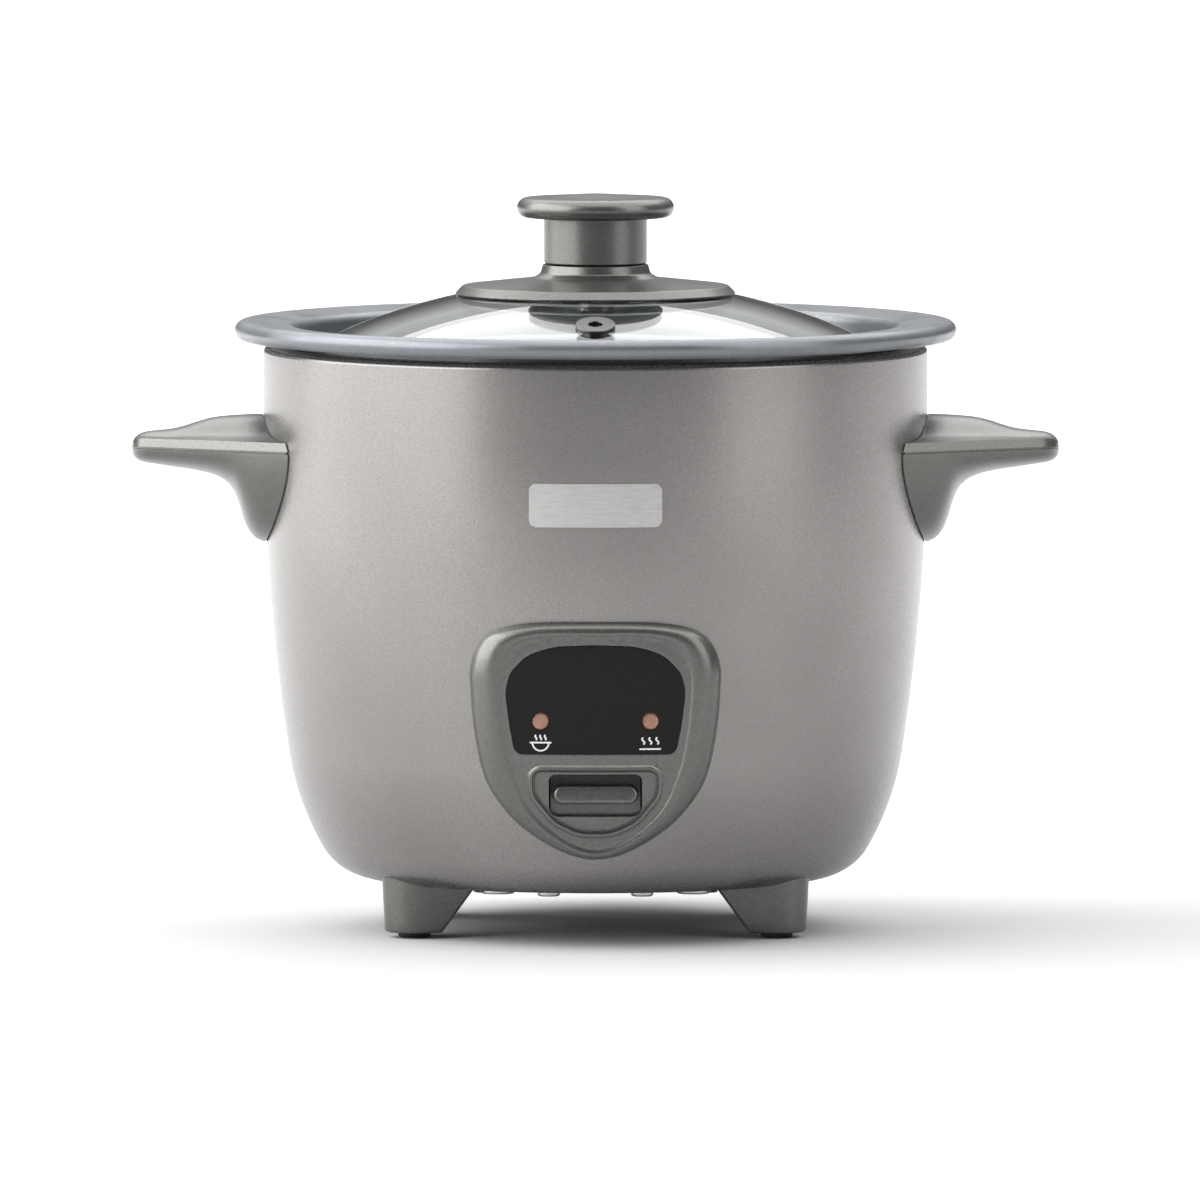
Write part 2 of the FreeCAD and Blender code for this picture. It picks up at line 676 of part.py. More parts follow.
def sensor_guide():
    """A flanged steel cup under the liner that guides the magnet and carries the sensor's spring."""
    wall = 0.8
    top = LINER_SHELF - LINER_WALL
    return turned([(2.2, 38.0), (15.6, 38.0), (15.6, top - wall), (20.5, top - wall),
                   (20.5, top), (15.6 - wall, top), (15.6 - wall, 38.0 + wall),
                   (2.2, 38.0 + wall)])


def sensor_spring():
    return coil_spring(11.2, 0.6, 38.85, 46.95, 3)


def sensor_cap():
    """The aluminium cap that touches the pot's underside through the middle of the plate."""
    return turned([(12.2, 47.0), (13.4, 47.0), (13.4, PLATE_TOP, 1.2), (0, PLATE_TOP),
                   (0, PLATE_TOP - 1.2), (12.2, PLATE_TOP - 1.2)])


def sensor_ferrite():
    return turned([(0, 48.4), (11.4, 48.4, 0.4), (11.4, PLATE_TOP - 1.2), (0, PLATE_TOP - 1.2)])


def main_switch():
    """The main switch, under the outer arm of the lever."""
    case = block((-6.0, 6.0), (-49.0, -38.5), (13.0, 25.0))
    case = case.makeFillet(0.6, [e for e in case.Edges if abs(e.BoundBox.ZLength - 12) < 0.01])
    blades = [block((x - 0.4, x + 0.4), (-38.5, -33.0), (18.0, 22.0)) for x in (-3.4, 3.4)]
    bore = cyl(1.3, 20.5, 26.0, 0, -44.0)
    return case.multiFuse(blades).cut(bore)


def switch_plunger():
    return turned([(0, 22.0), (1.2, 22.0), (1.2, 29.9, 0.5), (0, 29.9)], 0, -44.0)


def switch_bracket():
    base = block((-13.0, 13.0), (-47.0, -40.0), (SHELL_BASE + SHELL_WALL, 13.0))
    return base.common(cyl(48.0, 0, 20)).cut(switch_rivets())


def switch_rivets():
    rivets = []
    for x in (-10.0, 10.0):
        rivets.append(turned([(0, 10.2), (2.4, 10.2, 0.5), (2.4, SHELL_BASE), (1.4, SHELL_BASE),
                              (1.4, 13.0), (2.4, 13.0), (2.4, 14.0, 0.5), (0, 14.0)], x, -43.5))
    return group(rivets)


# ---- appliance inlet -------------------------------------------------------------------------------
def inlet_outline(half_x, half_z, radius):
    return rounded([(half_x, INLET_Z - half_z, radius), (half_x, INLET_Z + half_z, radius),
                    (-half_x, INLET_Z + half_z, radius), (-half_x, INLET_Z - half_z, radius)],
                   closed=True)


def power_inlet():
    """A three-pin appliance inlet: a flange on the outside of the shell around a deep socket."""
    flange = prism_y(inlet_outline(23.0, 12.5, 4.0), 45, INLET_FACE)
    rim = [e for e in flange.Edges if abs(e.CenterOfMass.y - INLET_FACE) < 0.01]
    flange = flange.makeFillet(1.2, rim).cut(solid_body(0.05))
    core = prism_y(inlet_outline(SOCKET_HALF_X, SOCKET_HALF_Z, 2.0), 50, INLET_FACE - 1)
    socket = prism_y(rounded([(12.2, INLET_Z - 8.4, 1.0), (12.2, INLET_Z + 4.6),
                              (8.4, INLET_Z + 8.4), (-8.4, INLET_Z + 8.4),
                              (-12.2, INLET_Z + 4.6), (-12.2, INLET_Z - 8.4, 1.0)],
                             closed=True), SOCKET_FLOOR, 80)
    return flange.fuse(core).cut(group([socket, inlet_pins(), inlet_screws()]))


def inlet_pins():
    """Line, neutral and earth pins; each ends in a blade terminal inside the body."""
    pins = []
    for x, z in ((-7.0, INLET_Z - 2.0), (7.0, INLET_Z - 2.0), (0.0, INLET_Z + 2.0)):
        pin = block((x - 1.0, x + 1.0), (46.0, INLET_FACE - 2.5), (z - 2.0, z + 2.0))
        tip = [e for e in pin.Edges if abs(e.CenterOfMass.y - (INLET_FACE - 2.5)) < 0.01]
        pins.append(pin.makeFillet(0.6, tip))
    return group(pins)


def inlet_screws():
    return group(fastener((s * 18.6, INLET_FACE - 2.2, INLET_Z), (0, -1, 0), 3.0, 1.8, 1.5, 10.0)
                 for s in (-1, 1))


# ---- pot and lid -----------------------------------------------------------------------------------
def inner_pot():
    """The cooking pot: a ledge for the lid, a flared flange and a rolled bead around its rim."""
    bead_r, bead_z = BEAD_CENTRE
    inside = [(0, POT_FLOOR), (POT_R, POT_FLOOR, POT_CORNER), (POT_R, LEDGE_Z, 0.6),
              (MOUTH_R, LEDGE_Z, 1.6), (MOUTH_R, FLANGE_Z, 2.0), (bead_r, bead_z + BEAD_R)]
    wall = sheet(inside, -POT_WALL)
    bead = Part.makeTorus(bead_r, BEAD_R, vec(0, 0, bead_z), UP)
    return wall.fuse(bead)


def dome_point(radius, degrees):
    angle = math.radians(degrees)
    return on_xz(radius * math.sin(angle), DOME_TOP - DOME_R + radius * math.cos(angle))


def dome_height(r, radius=DOME_R):
    return DOME_TOP - DOME_R + math.sqrt(radius ** 2 - r ** 2)


def lid_glass():
    """The domed glass, with a round edge, a hole for the knob's screw and one for the vent."""
    edge = math.degrees(math.asin(LID_EDGE_R / (DOME_R - GLASS / 2)))
    outer = [dome_point(DOME_R, a) for a in (0, edge / 2, edge)]
    inner = [dome_point(DOME_R - GLASS, a) for a in (edge, edge / 2, 0)]
    rim_middle = dome_point(DOME_R - GLASS / 2, edge + math.degrees(GLASS / 2 / DOME_R))
    profile = Part.Wire([Part.Arc(*outer).toShape(),
                         Part.Arc(outer[2], rim_middle, inner[0]).toShape(),
                         Part.Arc(*inner).toShape(), Part.makeLine(inner[2], outer[0])])
    holes = [cyl(2.6, 120, 150), at_vent(cyl(VENT_HOLE_R, 120, 150))]
    return turn(profile).cut(group(holes))


def at_vent(shape):
    """Tip a shape about the dome's centre, from the axis to the steam vent at the front."""
    tilt = math.degrees(math.asin(-VENT_Y / DOME_R))
    return shape.rotated(vec(0, 0, DOME_TOP - DOME_R), vec(1, 0, 0), tilt)


def vent_grommet():
    """The steam vent: a metal eyelet, square to the dome."""
    top = DOME_TOP + 0.9
    low = DOME_TOP - GLASS - 0.9
    return at_vent(turned([(1.5, low), (4.0, low, 0.3), (4.0, low + 0.8), (2.3, low + 0.8),
                           (2.3, top - 0.85), (4.3, top - 0.85), (4.3, top, 0.3),
                           (1.5, top, 0.3)]))


def knob_base():
    """The disc that spreads the knob's load over the glass."""
    lift = 0.05
    under = [on_xz(r, dome_height(r) + lift) for r in (2.6, 17.0, KNOB_BASE_R)]
    upper = rounded([(KNOB_BASE_R, under[2].z), (28.6, 138.9, 0.7), (13.4, 140.75, 1.2),
                     (11.9, 141.9, 0.5), (11.35, KNOB_SEAM), (2.6, KNOB_SEAM)])
    closing = Part.makeLine(on_xz(2.6, KNOB_SEAM), under[0])
    edges = [Part.Arc(*under).toShape(), closing] + upper.Edges
    return turn(Part.Wire(Part.__sortEdges__(edges)))


def lid_knob():
    """The knob: a stem under a mushroom cap with a bull-nose edge."""
    cap_edge = KNOB_CAP_R - KNOB_CAP_THICK / 2
    middle = KNOB_CAP_Z + KNOB_CAP_THICK / 2
    cap_top = KNOB_CAP_Z + KNOB_CAP_THICK
    rise = KNOB_TOP - cap_top
    crown_r = (cap_edge ** 2 + rise ** 2) / (2 * rise)
    half_way = KNOB_TOP - crown_r + math.sqrt(crown_r ** 2 - (cap_edge / 2) ** 2)
    outline = [Part.makeLine(on_xz(0, KNOB_SEAM + 0.25), on_xz(KNOB_STEM_R, KNOB_SEAM + 0.25)),
               Part.makeLine(on_xz(KNOB_STEM_R, KNOB_SEAM + 0.25),
                             on_xz(KNOB_STEM_R, KNOB_CAP_Z)),
               Part.makeLine(on_xz(KNOB_STEM_R, KNOB_CAP_Z), on_xz(cap_edge, KNOB_CAP_Z)),
               Part.Arc(on_xz(cap_edge, KNOB_CAP_Z), on_xz(KNOB_CAP_R, middle),
                        on_xz(cap_edge, cap_top)).toShape(),
               Part.Arc(on_xz(cap_edge, cap_top), on_xz(cap_edge / 2, half_way),
                        on_xz(0, KNOB_TOP)).toShape(),
               Part.makeLine(on_xz(0, KNOB_TOP), on_xz(0, KNOB_SEAM + 0.25))]
    solid = turn(Part.Wire(outline))
    return solid.cut(cyl(4.0, KNOB_SEAM, 151.0))


def knob_insert():
    """The threaded brass insert moulded into the knob."""
    return ring(KNOB_BORE_R, 4.0, KNOB_SEAM + 0.25, 151.0)


def knob_screw():
    washer_under = dome_height(0) - GLASS - 1.6
    return fastener((0, 0, washer_under), (0, 0, 1), 4.0, 2.2, KNOB_BORE_R, 13.5)


def knob_washer():
    """The cupped washer under the glass."""
    top = dome_height(0) - GLASS
    return turned([(KNOB_BORE_R, top - 1.6), (7.0, top - 1.6, 0.4), (8.0, top - 0.25),
                   (KNOB_BORE_R, top - 0.05)])


# ---- all pieces -------------------------------------------------------------------------------------
PIECES = [outer_shell, chamber_liner, heating_plate, heater_element, plate_standoffs, plate_screws,
          keep_warm_thermostat, thermal_fuse, fuse_clip, foot_screws, bottom_cover,
          bottom_cover_screws, left_handle, right_handle, handle_screws, control_bezel,
          bezel_screws, indicator_window, cook_lamp, warm_lamp, lamp_board, lamp_board_screws,
          name_plate, cook_lever, cook_button, lever_bracket, lever_pin, bracket_screws, magnet_rod,
          magnet, magnet_spring, sensor_guide, sensor_spring, sensor_cap, sensor_ferrite,
          main_switch, switch_plunger, switch_bracket, switch_rivets, power_inlet, inlet_pins,
          inlet_screws, inner_pot, lid_glass, vent_grommet, knob_base, lid_knob, knob_insert,
          knob_screw, knob_washer]
CORNERS = {"front_left": (-1, -1), "front_right": (1, -1), "back_left": (-1, 1),
           "back_right": (1, 1)}


def main():
    os.makedirs("parts", exist_ok=True)
    for piece in PIECES:
        piece().exportStep(f"parts/{piece.__name__}.step")
    for corner, signs in CORNERS.items():
        foot(*signs).exportStep(f"parts/{corner}_foot.step")
        foot_pad(*signs).exportStep(f"parts/{corner}_pad.step")


main()
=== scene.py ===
import json
import math

import bmesh
import bpy
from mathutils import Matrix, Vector
from mathutils.geometry import delaunay_2d_cdt


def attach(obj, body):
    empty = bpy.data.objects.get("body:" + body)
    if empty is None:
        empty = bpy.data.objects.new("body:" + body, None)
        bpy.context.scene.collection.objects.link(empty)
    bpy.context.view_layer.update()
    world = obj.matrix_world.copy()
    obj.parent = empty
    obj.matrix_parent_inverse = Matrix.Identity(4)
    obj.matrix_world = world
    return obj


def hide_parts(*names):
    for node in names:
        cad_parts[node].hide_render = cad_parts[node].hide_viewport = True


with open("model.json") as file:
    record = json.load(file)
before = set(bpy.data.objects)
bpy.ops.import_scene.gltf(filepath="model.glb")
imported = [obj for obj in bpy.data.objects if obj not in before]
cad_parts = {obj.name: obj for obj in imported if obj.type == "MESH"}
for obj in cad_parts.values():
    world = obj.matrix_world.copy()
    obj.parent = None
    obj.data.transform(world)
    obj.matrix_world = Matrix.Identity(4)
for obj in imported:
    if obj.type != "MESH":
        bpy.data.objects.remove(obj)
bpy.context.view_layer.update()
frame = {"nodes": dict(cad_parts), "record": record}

# Lengths are in millimetres and are turned into metres where a mesh is made.
MM = 0.001
NODES = frame["nodes"]

# ---- dimensions, the same as in the CAD ------------------------------------------------------
BODY_R = 71.8
SHELL_TOP = 126.1
SHELL_WALL = 0.8
LIP_R = 68.2
BASE_OPENING_R = 31.5
BELLY_START = 106.4
BELLY_ARCS = [(436.0, 9.0), (60.0, 30.0), (12.8, 90.0)]

POT_WALL = 1.5
POT_FLOOR = 56.0
POT_R = 61.7
LEDGE_Z = 121.6
MOUTH_R = 64.7
FLANGE_Z = 130.6
BEAD_R = 2.04
BEAD_CENTRE = (76.0, 129.5)

DOME_R = 140.0
DOME_TOP = 140.3
GLASS = 4.0
LID_EDGE_R = 61.5
KNOB_SEAM = 143.6

HANDLE_TIP = 100.29
HANDLE_NOSE = 96.0
HANDLE_RIM_Z = 106.5
HANDLE_MIDDLE_Z = 103.8
# half the handle's width where it meets the shell, and how fast it narrows outwards
HANDLE_ROOT = 66.1
HANDLE_ROOT_HALF = 27.6
HANDLE_TAPER = 0.6126

FACE_AXIS_Y = 38.0
FACE_PROFILE = [(72.2, 76.0), (71.4, 47.0), (64.5, 15.0)]
FOOT_X = 39.0
FOOT_Y = 27.7

# openings in the shell, each from its lowest corner to its highest
PADDLE_OPENING = ((-11.0, -75.0, 24.4), (11.0, -50.0, 42.0))
LAMP_OPENING = ((-15.5, -75.0, 45.5), (15.5, -50.0, 54.0))
INLET_OPENING = ((-14.6, 50.0, 22.0), (14.6, 75.0, 44.0))


# ---- curves ----------------------------------------------------------------------------------
def rounded(points, step=6.0, closed=False):
    """A polyline of (a, b) or (a, b, radius) corners, with each radius turned into short chords."""
    out = []
    count = len(points)
    for i, (a, b, *radius) in enumerate(points):
        if not radius or not radius[0] or (not closed and i in (0, count - 1)):
            out.append((a, b))
            continue
        corner = Vector((a, b))
        before = (Vector(points[i - 1][:2]) - corner).normalized()
        after = (Vector(points[(i + 1) % count][:2]) - corner).normalized()
        half = before.angle(after) / 2
        centre = corner + (before + after).normalized() * (radius[0] / math.sin(half))
        start = corner + before * (radius[0] / math.tan(half)) - centre
        end = corner + after * (radius[0] / math.tan(half)) - centre
        turn = math.atan2(start.x * end.y - start.y * end.x, start.dot(end))
        chords = max(2, math.ceil(abs(math.degrees(turn)) / step))
        for k in range(chords + 1):
            angle = turn * k / chords
            out.append((centre.x + start.x * math.cos(angle) - start.y * math.sin(angle),
                        centre.y + start.x * math.sin(angle) + start.y * math.cos(angle)))
    return out


def parallel(points, distance):
    """An open polyline with corner radii, moved to its left."""
    moved = []
    for i, (x, z, *radius) in enumerate(points):
        steps = [(points[i - 1], points[i])] if i else []
        steps += [(points[i], points[i + 1])] if i + 1 < len(points) else []
        headings = [math.atan2(b[1] - a[1], b[0] - a[0]) for a, b in steps]
        bend = (headings[-1] - headings[0] + math.pi) % (2 * math.pi) - math.pi
        sideways = headings[0] + bend / 2 + math.pi / 2
        reach = distance / math.cos(bend / 2)
        corner = radius[0] + (-distance if bend > 0 else distance) if radius else 0.0
        moved.append((x + reach * math.cos(sideways), z + reach * math.sin(sideways),
                      max(corner, 0.0)))
    return moved


def arc(centre, radius, start, end, chords):
    """Points on a circle from one angle to another, in degrees."""
    angles = [math.radians(start + (end - start) * k / chords) for k in range(chords + 1)]
    return [(centre[0] + radius * math.cos(a), centre[1] + radius * math.sin(a)) for a in angles]


def smooth(points, x):
    """The height at x of a smooth curve through (x, z) points."""
    last = len(points) - 1
    i = next((k for k in range(last) if x <= points[k + 1][0]), last - 1)
    slopes = []
    for k in (i, i + 1):
        low, high = points[max(k - 1, 0)], points[min(k + 1, last)]
        slopes.append((high[1] - low[1]) / (high[0] - low[0]))
    (x0, z0), (x1, z1) = points[i], points[i + 1]
    width = x1 - x0
    t = (x - x0) / width
    return ((2 * t ** 3 - 3 * t ** 2 + 1) * z0 + (t ** 3 - 2 * t ** 2 + t) * width * slopes[0]
            + (3 * t ** 2 - 2 * t ** 3) * z1 + (t ** 3 - t ** 2) * width * slopes[1])


def closed_spline(corners, per_span):
    """A smooth closed curve through points, as a list of points."""
    count = len(corners)
    out = []
    for i in range(count):
        p0, p1, p2, p3 = (Vector(corners[(i + k) % count]) for k in (-1, 0, 1, 2))
        d0, d1, d2 = ((b - a).length ** 0.5 for a, b in ((p0, p1), (p1, p2), (p2, p3)))
        m1 = (p2 - p1) + d1 * ((p1 - p0) / d0 - (p2 - p0) / (d0 + d1))
        m2 = (p2 - p1) + d1 * ((p3 - p2) / d2 - (p3 - p1) / (d1 + d2))
        for k in range(per_span):
            t = k / per_span
            out.append(tuple((2 * t ** 3 - 3 * t ** 2 + 1) * p1 + (t ** 3 - 2 * t ** 2 + t) * m1
                             + (3 * t ** 2 - 2 * t ** 3) * p2 + (t ** 3 - t ** 2) * m2))
    return out


def spread(loop, distance):
    """A closed loop of points moved outwards along its normals, or inwards if negative."""
    count = len(loop)
    area = sum(loop[i - 1][0] * loop[i][1] - loop[i][0] * loop[i - 1][1] for i in range(count))
    sign = 1 if area > 0 else -1
    out = []
    for i, point in enumerate(loop):
        along = Vector(loop[(i + 1) % count]) - Vector(loop[i - 1])
        normal = Vector((along.y, -along.x)).normalized() * sign
        out.append(tuple(Vector(point) + normal * distance))
    return out


def inside(point, loop):
    """Whether a point is inside a closed loop."""
    x, y = point
    hits = False
    for (x0, y0), (x1, y1) in zip(loop, loop[1:] + loop[:1]):
        if (y0 > y) != (y1 > y) and x < x0 + (y - y0) * (x1 - x0) / (y1 - y0):
            hits = not hits
    return hits


# ---- meshes ----------------------------------------------------------------------------------
class Builder:
    """Points and faces of one mesh, made from loops of points."""

    def __init__(self):
        self.points = []
        self.faces = []

    def loop(self, points):
        start = len(self.points)
        self.points += points
        return list(range(start, len(self.points)))

    def band(self, first, second, closed=True):
        """Quads between two loops of the same length."""
        count = len(first)
        for i in range(count if closed else count - 1):
            j = (i + 1) % count
            face = dict.fromkeys((first[i], first[j], second[j], second[i]))
            if len(face) > 2:
                self.faces.append(tuple(face))

    def skin(self, loops, closed=True):
        for first, second in zip(loops, loops[1:]):
            self.band(first, second, closed)

    def fan(self, loop, centre):
        (tip,) = self.loop([centre])
        self.band(loop, [tip] * len(loop))

    def fill(self, outer, holes, flat, place, spacing):
        """Triangles between loops on a curved face: flat(point) is its plan, place() its inverse."""
        rims = [outer] + holes
        plans = [[flat(self.points[i]) for i in rim] for rim in rims]
        fixed = [i for rim in rims for i in rim]
        corners = [p for plan in plans for p in plan]
        edges = []
        for rim in rims:
            start = len(edges)
            edges += [(start + k, start + (k + 1) % len(rim)) for k in range(len(rim))]
        xs = [p[0] for p in plans[0]]
        ys = [p[1] for p in plans[0]]
        rows = [min(ys) + spacing * k for k in range(1, int((max(ys) - min(ys)) / spacing) + 1)]
        columns = [min(xs) + spacing * k for k in range(1, int((max(xs) - min(xs)) / spacing) + 1)]
        grid = []
        for y in rows:
            for x in columns:
                clear = all(math.dist((x, y), p) > 0.6 * spacing for p in corners)
                if clear and inside((x, y), plans[0]) and not any(inside((x, y), p)
                                                                  for p in plans[1:]):
                    grid.append((x, y))
        verts, _, faces, origins, _, _ = delaunay_2d_cdt(
            [Vector(p) for p in corners + grid], edges, [], 0, 1e-7)
        added = self.loop([place(*p) for p in grid])
        lookup = fixed + added
        for face in faces:
            middle = [sum(verts[i][axis] for i in face) / len(face) for axis in (0, 1)]
            if inside(middle, plans[0]) and not any(inside(middle, p) for p in plans[1:]):
                self.faces.append(tuple(lookup[origins[i][0]] for i in face))

    def object(self, name):
        """An object in metres with no doubled or loose points and its normals outwards."""
        mesh = bpy.data.meshes.new(name)
        mesh.from_pydata([Vector(p) * MM for p in self.points], [], self.faces)
        shaped = bmesh.new()
        shaped.from_mesh(mesh)
        bmesh.ops.remove_doubles(shaped, verts=shaped.verts, dist=1e-7)
        loose = [v for v in shaped.verts if not v.link_faces]
        bmesh.ops.delete(shaped, geom=loose, context="VERTS")
        bmesh.ops.recalc_face_normals(shaped, faces=shaped.faces)
        shaped.to_mesh(mesh)
        shaped.free()
        obj = bpy.data.objects.new(name, mesh)
        bpy.context.scene.collection.objects.link(obj)
        return obj

    def piece(self, name, body, material, slot, replaces=(), crease=32.0):
        """The finished object, riding on its body in place of the CAD nodes it stands for."""
        obj = self.object(name)
        finish_surface(obj, material, crease)
        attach(obj, body)
        if replaces:
            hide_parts(*replaces)
        return obj


def finish_surface(obj, material, crease=32.0):
    """One material, smooth shading that breaks at real edges, and flat faces that stay flat."""
    mesh = obj.data
    mesh.materials.clear()
    mesh.materials.append(material)
    mesh.shade_smooth()
    mesh.set_sharp_from_angle(angle=math.radians(crease))
    if "weighted normals" not in obj.modifiers:
        weighted = obj.modifiers.new("weighted normals", "WEIGHTED_NORMAL")
        weighted.keep_sharp = True


def lathe(profile, segments=240, angle=0.0):
    """A builder with an (r, z) profile turned about the vertical axis.

    The profile is closed unless it starts and ends on the axis."""
    made = Builder()
    turns = [math.radians(angle) + 2 * math.pi * k / segments for k in range(segments)]
    loops = []
    for r, z in profile:
        if r < 1e-6:
            loops.append(made.loop([(0.0, 0.0, z)]) * segments)
        else:
            loops.append(made.loop([(r * math.cos(a), r * math.sin(a), z) for a in turns]))
    made.skin(loops)
    if profile[0][0] > 1e-6:
        made.band(loops[-1], loops[0])
    return made


def cut_boxes(obj, boxes):
    """Openings cut through a piece, each box as (lowest corner, highest corner)."""
    cutter = Builder()
    for (x0, y0, z0), (x1, y1, z1) in boxes:
        low = cutter.loop([(x0, y0, z0), (x1, y0, z0), (x1, y1, z0), (x0, y1, z0)])
        high = cutter.loop([(x0, y0, z1), (x1, y0, z1), (x1, y1, z1), (x0, y1, z1)])
        cutter.band(low, high)
        cutter.faces += [tuple(low), tuple(high)]
    tool = cutter.object("cutter")
    boolean = obj.modifiers.new("openings", "BOOLEAN")
    boolean.operation = "DIFFERENCE"
    boolean.solver = "EXACT"
    boolean.object = tool
    obj.modifiers.move(len(obj.modifiers) - 1, 0)
    for modifier in obj.modifiers:
        modifier.show_viewport = modifier == boolean
    bpy.context.view_layer.update()
    evaluated = obj.evaluated_get(bpy.context.evaluated_depsgraph_get())
    cut = bpy.data.meshes.new_from_object(evaluated)
    obj.modifiers.remove(boolean)
    obj.data = cut
    bpy.data.objects.remove(tool)
    for modifier in obj.modifiers:
        modifier.show_viewport = True


# ---- materials -------------------------------------------------------------------------------
class Finish:
    """A Principled material with helpers for the nodes that shape it."""

    def __init__(self, name, colour, roughness, metallic=0.0, **sockets):
        self.material = bpy.data.materials.new(name)
        self.material.use_nodes = True
        self.tree = self.material.node_tree
        self.shader = self.tree.nodes["Principled BSDF"]
        self.colour = colour
        self.set(self.shader, "Roughness", roughness)
        self.set(self.shader, "Metallic", metallic)
        self.set(self.shader, "Base Color", (*colour, 1.0))
        for key, value in sockets.items():
            self.set(self.shader, key.replace("_", " "), value)
        self.where = self.tree.nodes.new("ShaderNodeTexCoord").outputs["Object"]
        self.height = None

    def set(self, node, socket, value):
        node.inputs[socket].default_value = value

    def node(self, kind, **inputs):
        node = self.tree.nodes.new(kind)
        for key, value in inputs.items():
            socket = node.inputs[key.replace("_", " ")]
            if isinstance(value, bpy.types.NodeSocket):
                self.tree.links.new(value, socket)
            else:
                socket.default_value = value
        return node

    def noise(self, size, detail=2.0, roughness=0.5, stretch=None):
        """Noise whose features are about `size` millimetres across."""
        where = self.where
        if stretch:
            mapping = self.node("ShaderNodeMapping", Vector=where)
            mapping.inputs["Scale"].default_value = stretch
            where = mapping.outputs["Vector"]
        node = self.node("ShaderNodeTexNoise", Vector=where, Scale=1.0 / (size * MM),
                         Detail=detail, Roughness=roughness)
        return node.outputs["Fac"]

    def flakes(self, size):
        """A random value for each cell about `size` millimetres across."""
        node = self.node("ShaderNodeTexVoronoi", Vector=self.where, Scale=1.0 / (size * MM))
        split = self.node("ShaderNodeSeparateColor", Color=node.outputs["Color"])
        return split.outputs[0]

    def ranged(self, value, low, high, start=0.0, end=1.0):
        node = self.node("ShaderNodeMapRange", Value=value)
        for socket, number in (("From Min", start), ("From Max", end), ("To Min", low),
                               ("To Max", high)):
            node.inputs[socket].default_value = number
        return node.outputs["Result"]

    def tint(self, value, other, low=0.35, high=0.65):
        """Mixes the base colour towards another one by a value."""
        mix = self.node("ShaderNodeMix")
        mix.data_type = "RGBA"
        linked = self.shader.inputs["Base Color"].links
        self.tree.links.new(self.ranged(value, 0.0, 1.0, low, high), mix.inputs[0])
        colours = [s for s in mix.inputs if s.type == "RGBA"]
        if linked:
            self.tree.links.new(linked[0].from_socket, colours[0])
        else:
            colours[0].default_value = (*self.colour, 1.0)
        colours[1].default_value = (*other, 1.0)
        result = next(s for s in mix.outputs if s.type == "RGBA")
        self.tree.links.new(result, self.shader.inputs["Base Color"])
        return self

    def vary_roughness(self, value, low, high):
        self.tree.links.new(self.ranged(value, low, high, 0.3, 0.7), self.shader.inputs["Roughness"])
        return self

    def bump(self, value, depth):
        """Adds relief `depth` millimetres high to what is there already."""
        node = self.node("ShaderNodeBump", Height=value, Distance=depth * MM)
        if self.height:
            self.tree.links.new(self.height, node.inputs["Normal"])
        self.height = node.outputs["Normal"]
        self.tree.links.new(self.height, self.shader.inputs["Normal"])
        return self


def painted_steel():
    """Metallic paint on the drawn shell: fine flake under a faint orange peel."""
    finish = Finish("painted_steel", (0.27, 0.258, 0.252), 0.28, 0.85)
    finish.tint(finish.flakes(0.28), (0.315, 0.302, 0.297), 0.0, 1.0)
    finish.tint(finish.noise(60.0), (0.25, 0.24, 0.234))
    finish.vary_roughness(finish.noise(0.35), 0.25, 0.33)
    finish.bump(finish.noise(1.6, 3.0), 0.005)
    finish.bump(finish.noise(0.22, 1.0), 0.004)
    return finish.material


def moulded_plastic():
    """Plastic sprayed with the same paint: a coarser, sandblasted surface."""
    finish = Finish("moulded_plastic", (0.125, 0.128, 0.12), 0.3, 0.8)
    finish.tint(finish.flakes(0.22), (0.165, 0.168, 0.158), 0.0, 1.0)
    finish.vary_roughness(finish.noise(0.4), 0.27, 0.36)
    finish.bump(finish.noise(0.5, 2.0, 0.6), 0.014)
    return finish.material


def coated_aluminium():
    """The pot's blue-grey non-stick coating: satin, with a fine speckle."""
    finish = Finish("coated_aluminium", (0.19, 0.2, 0.215), 0.34, 0.55)
    finish.tint(finish.flakes(0.4), (0.25, 0.26, 0.275), 0.75, 1.0)
    finish.tint(finish.noise(25.0, 3.0), (0.172, 0.182, 0.197))
    finish.vary_roughness(finish.noise(6.0, 4.0), 0.28, 0.4)
    finish.bump(finish.noise(0.6, 2.0), 0.006)
    return finish.material


def lid_glass():
    """Tempered glass, very slightly wavy."""
    finish = Finish("lid_glass", (0.93, 0.96, 0.955), 0.02, 0.0, IOR=1.5, Transmission_Weight=1.0)
    finish.tint(finish.noise(40.0), (0.91, 0.95, 0.945))
    finish.bump(finish.noise(18.0, 1.0), 0.02)
    return finish.material


def window_plastic():
    """Glossy black lens plastic with faint dust and hairline variation."""
    finish = Finish("window_plastic", (0.007, 0.0065, 0.006), 0.12, 0.0,
                    Specular_IOR_Level=0.15)
    finish.tint(finish.noise(0.5, 4.0), (0.01, 0.0095, 0.009))
    finish.vary_roughness(finish.noise(3.0, 4.0), 0.09, 0.17)
    finish.bump(finish.noise(8.0), 0.004)
    return finish.material


def lamp_plastic():
    """Amber lamp caps, unlit, brighter inside than at the edge."""
    finish = Finish("lamp_plastic", (0.31, 0.165, 0.12), 0.28, 0.0, Subsurface_Weight=0.25)
    finish.tint(finish.noise(1.4, 2.0), (0.38, 0.21, 0.15))
    finish.set(finish.shader, "Subsurface Radius", (0.002, 0.0008, 0.0004))
    finish.bump(finish.noise(0.7, 2.0), 0.01)
    return finish.material


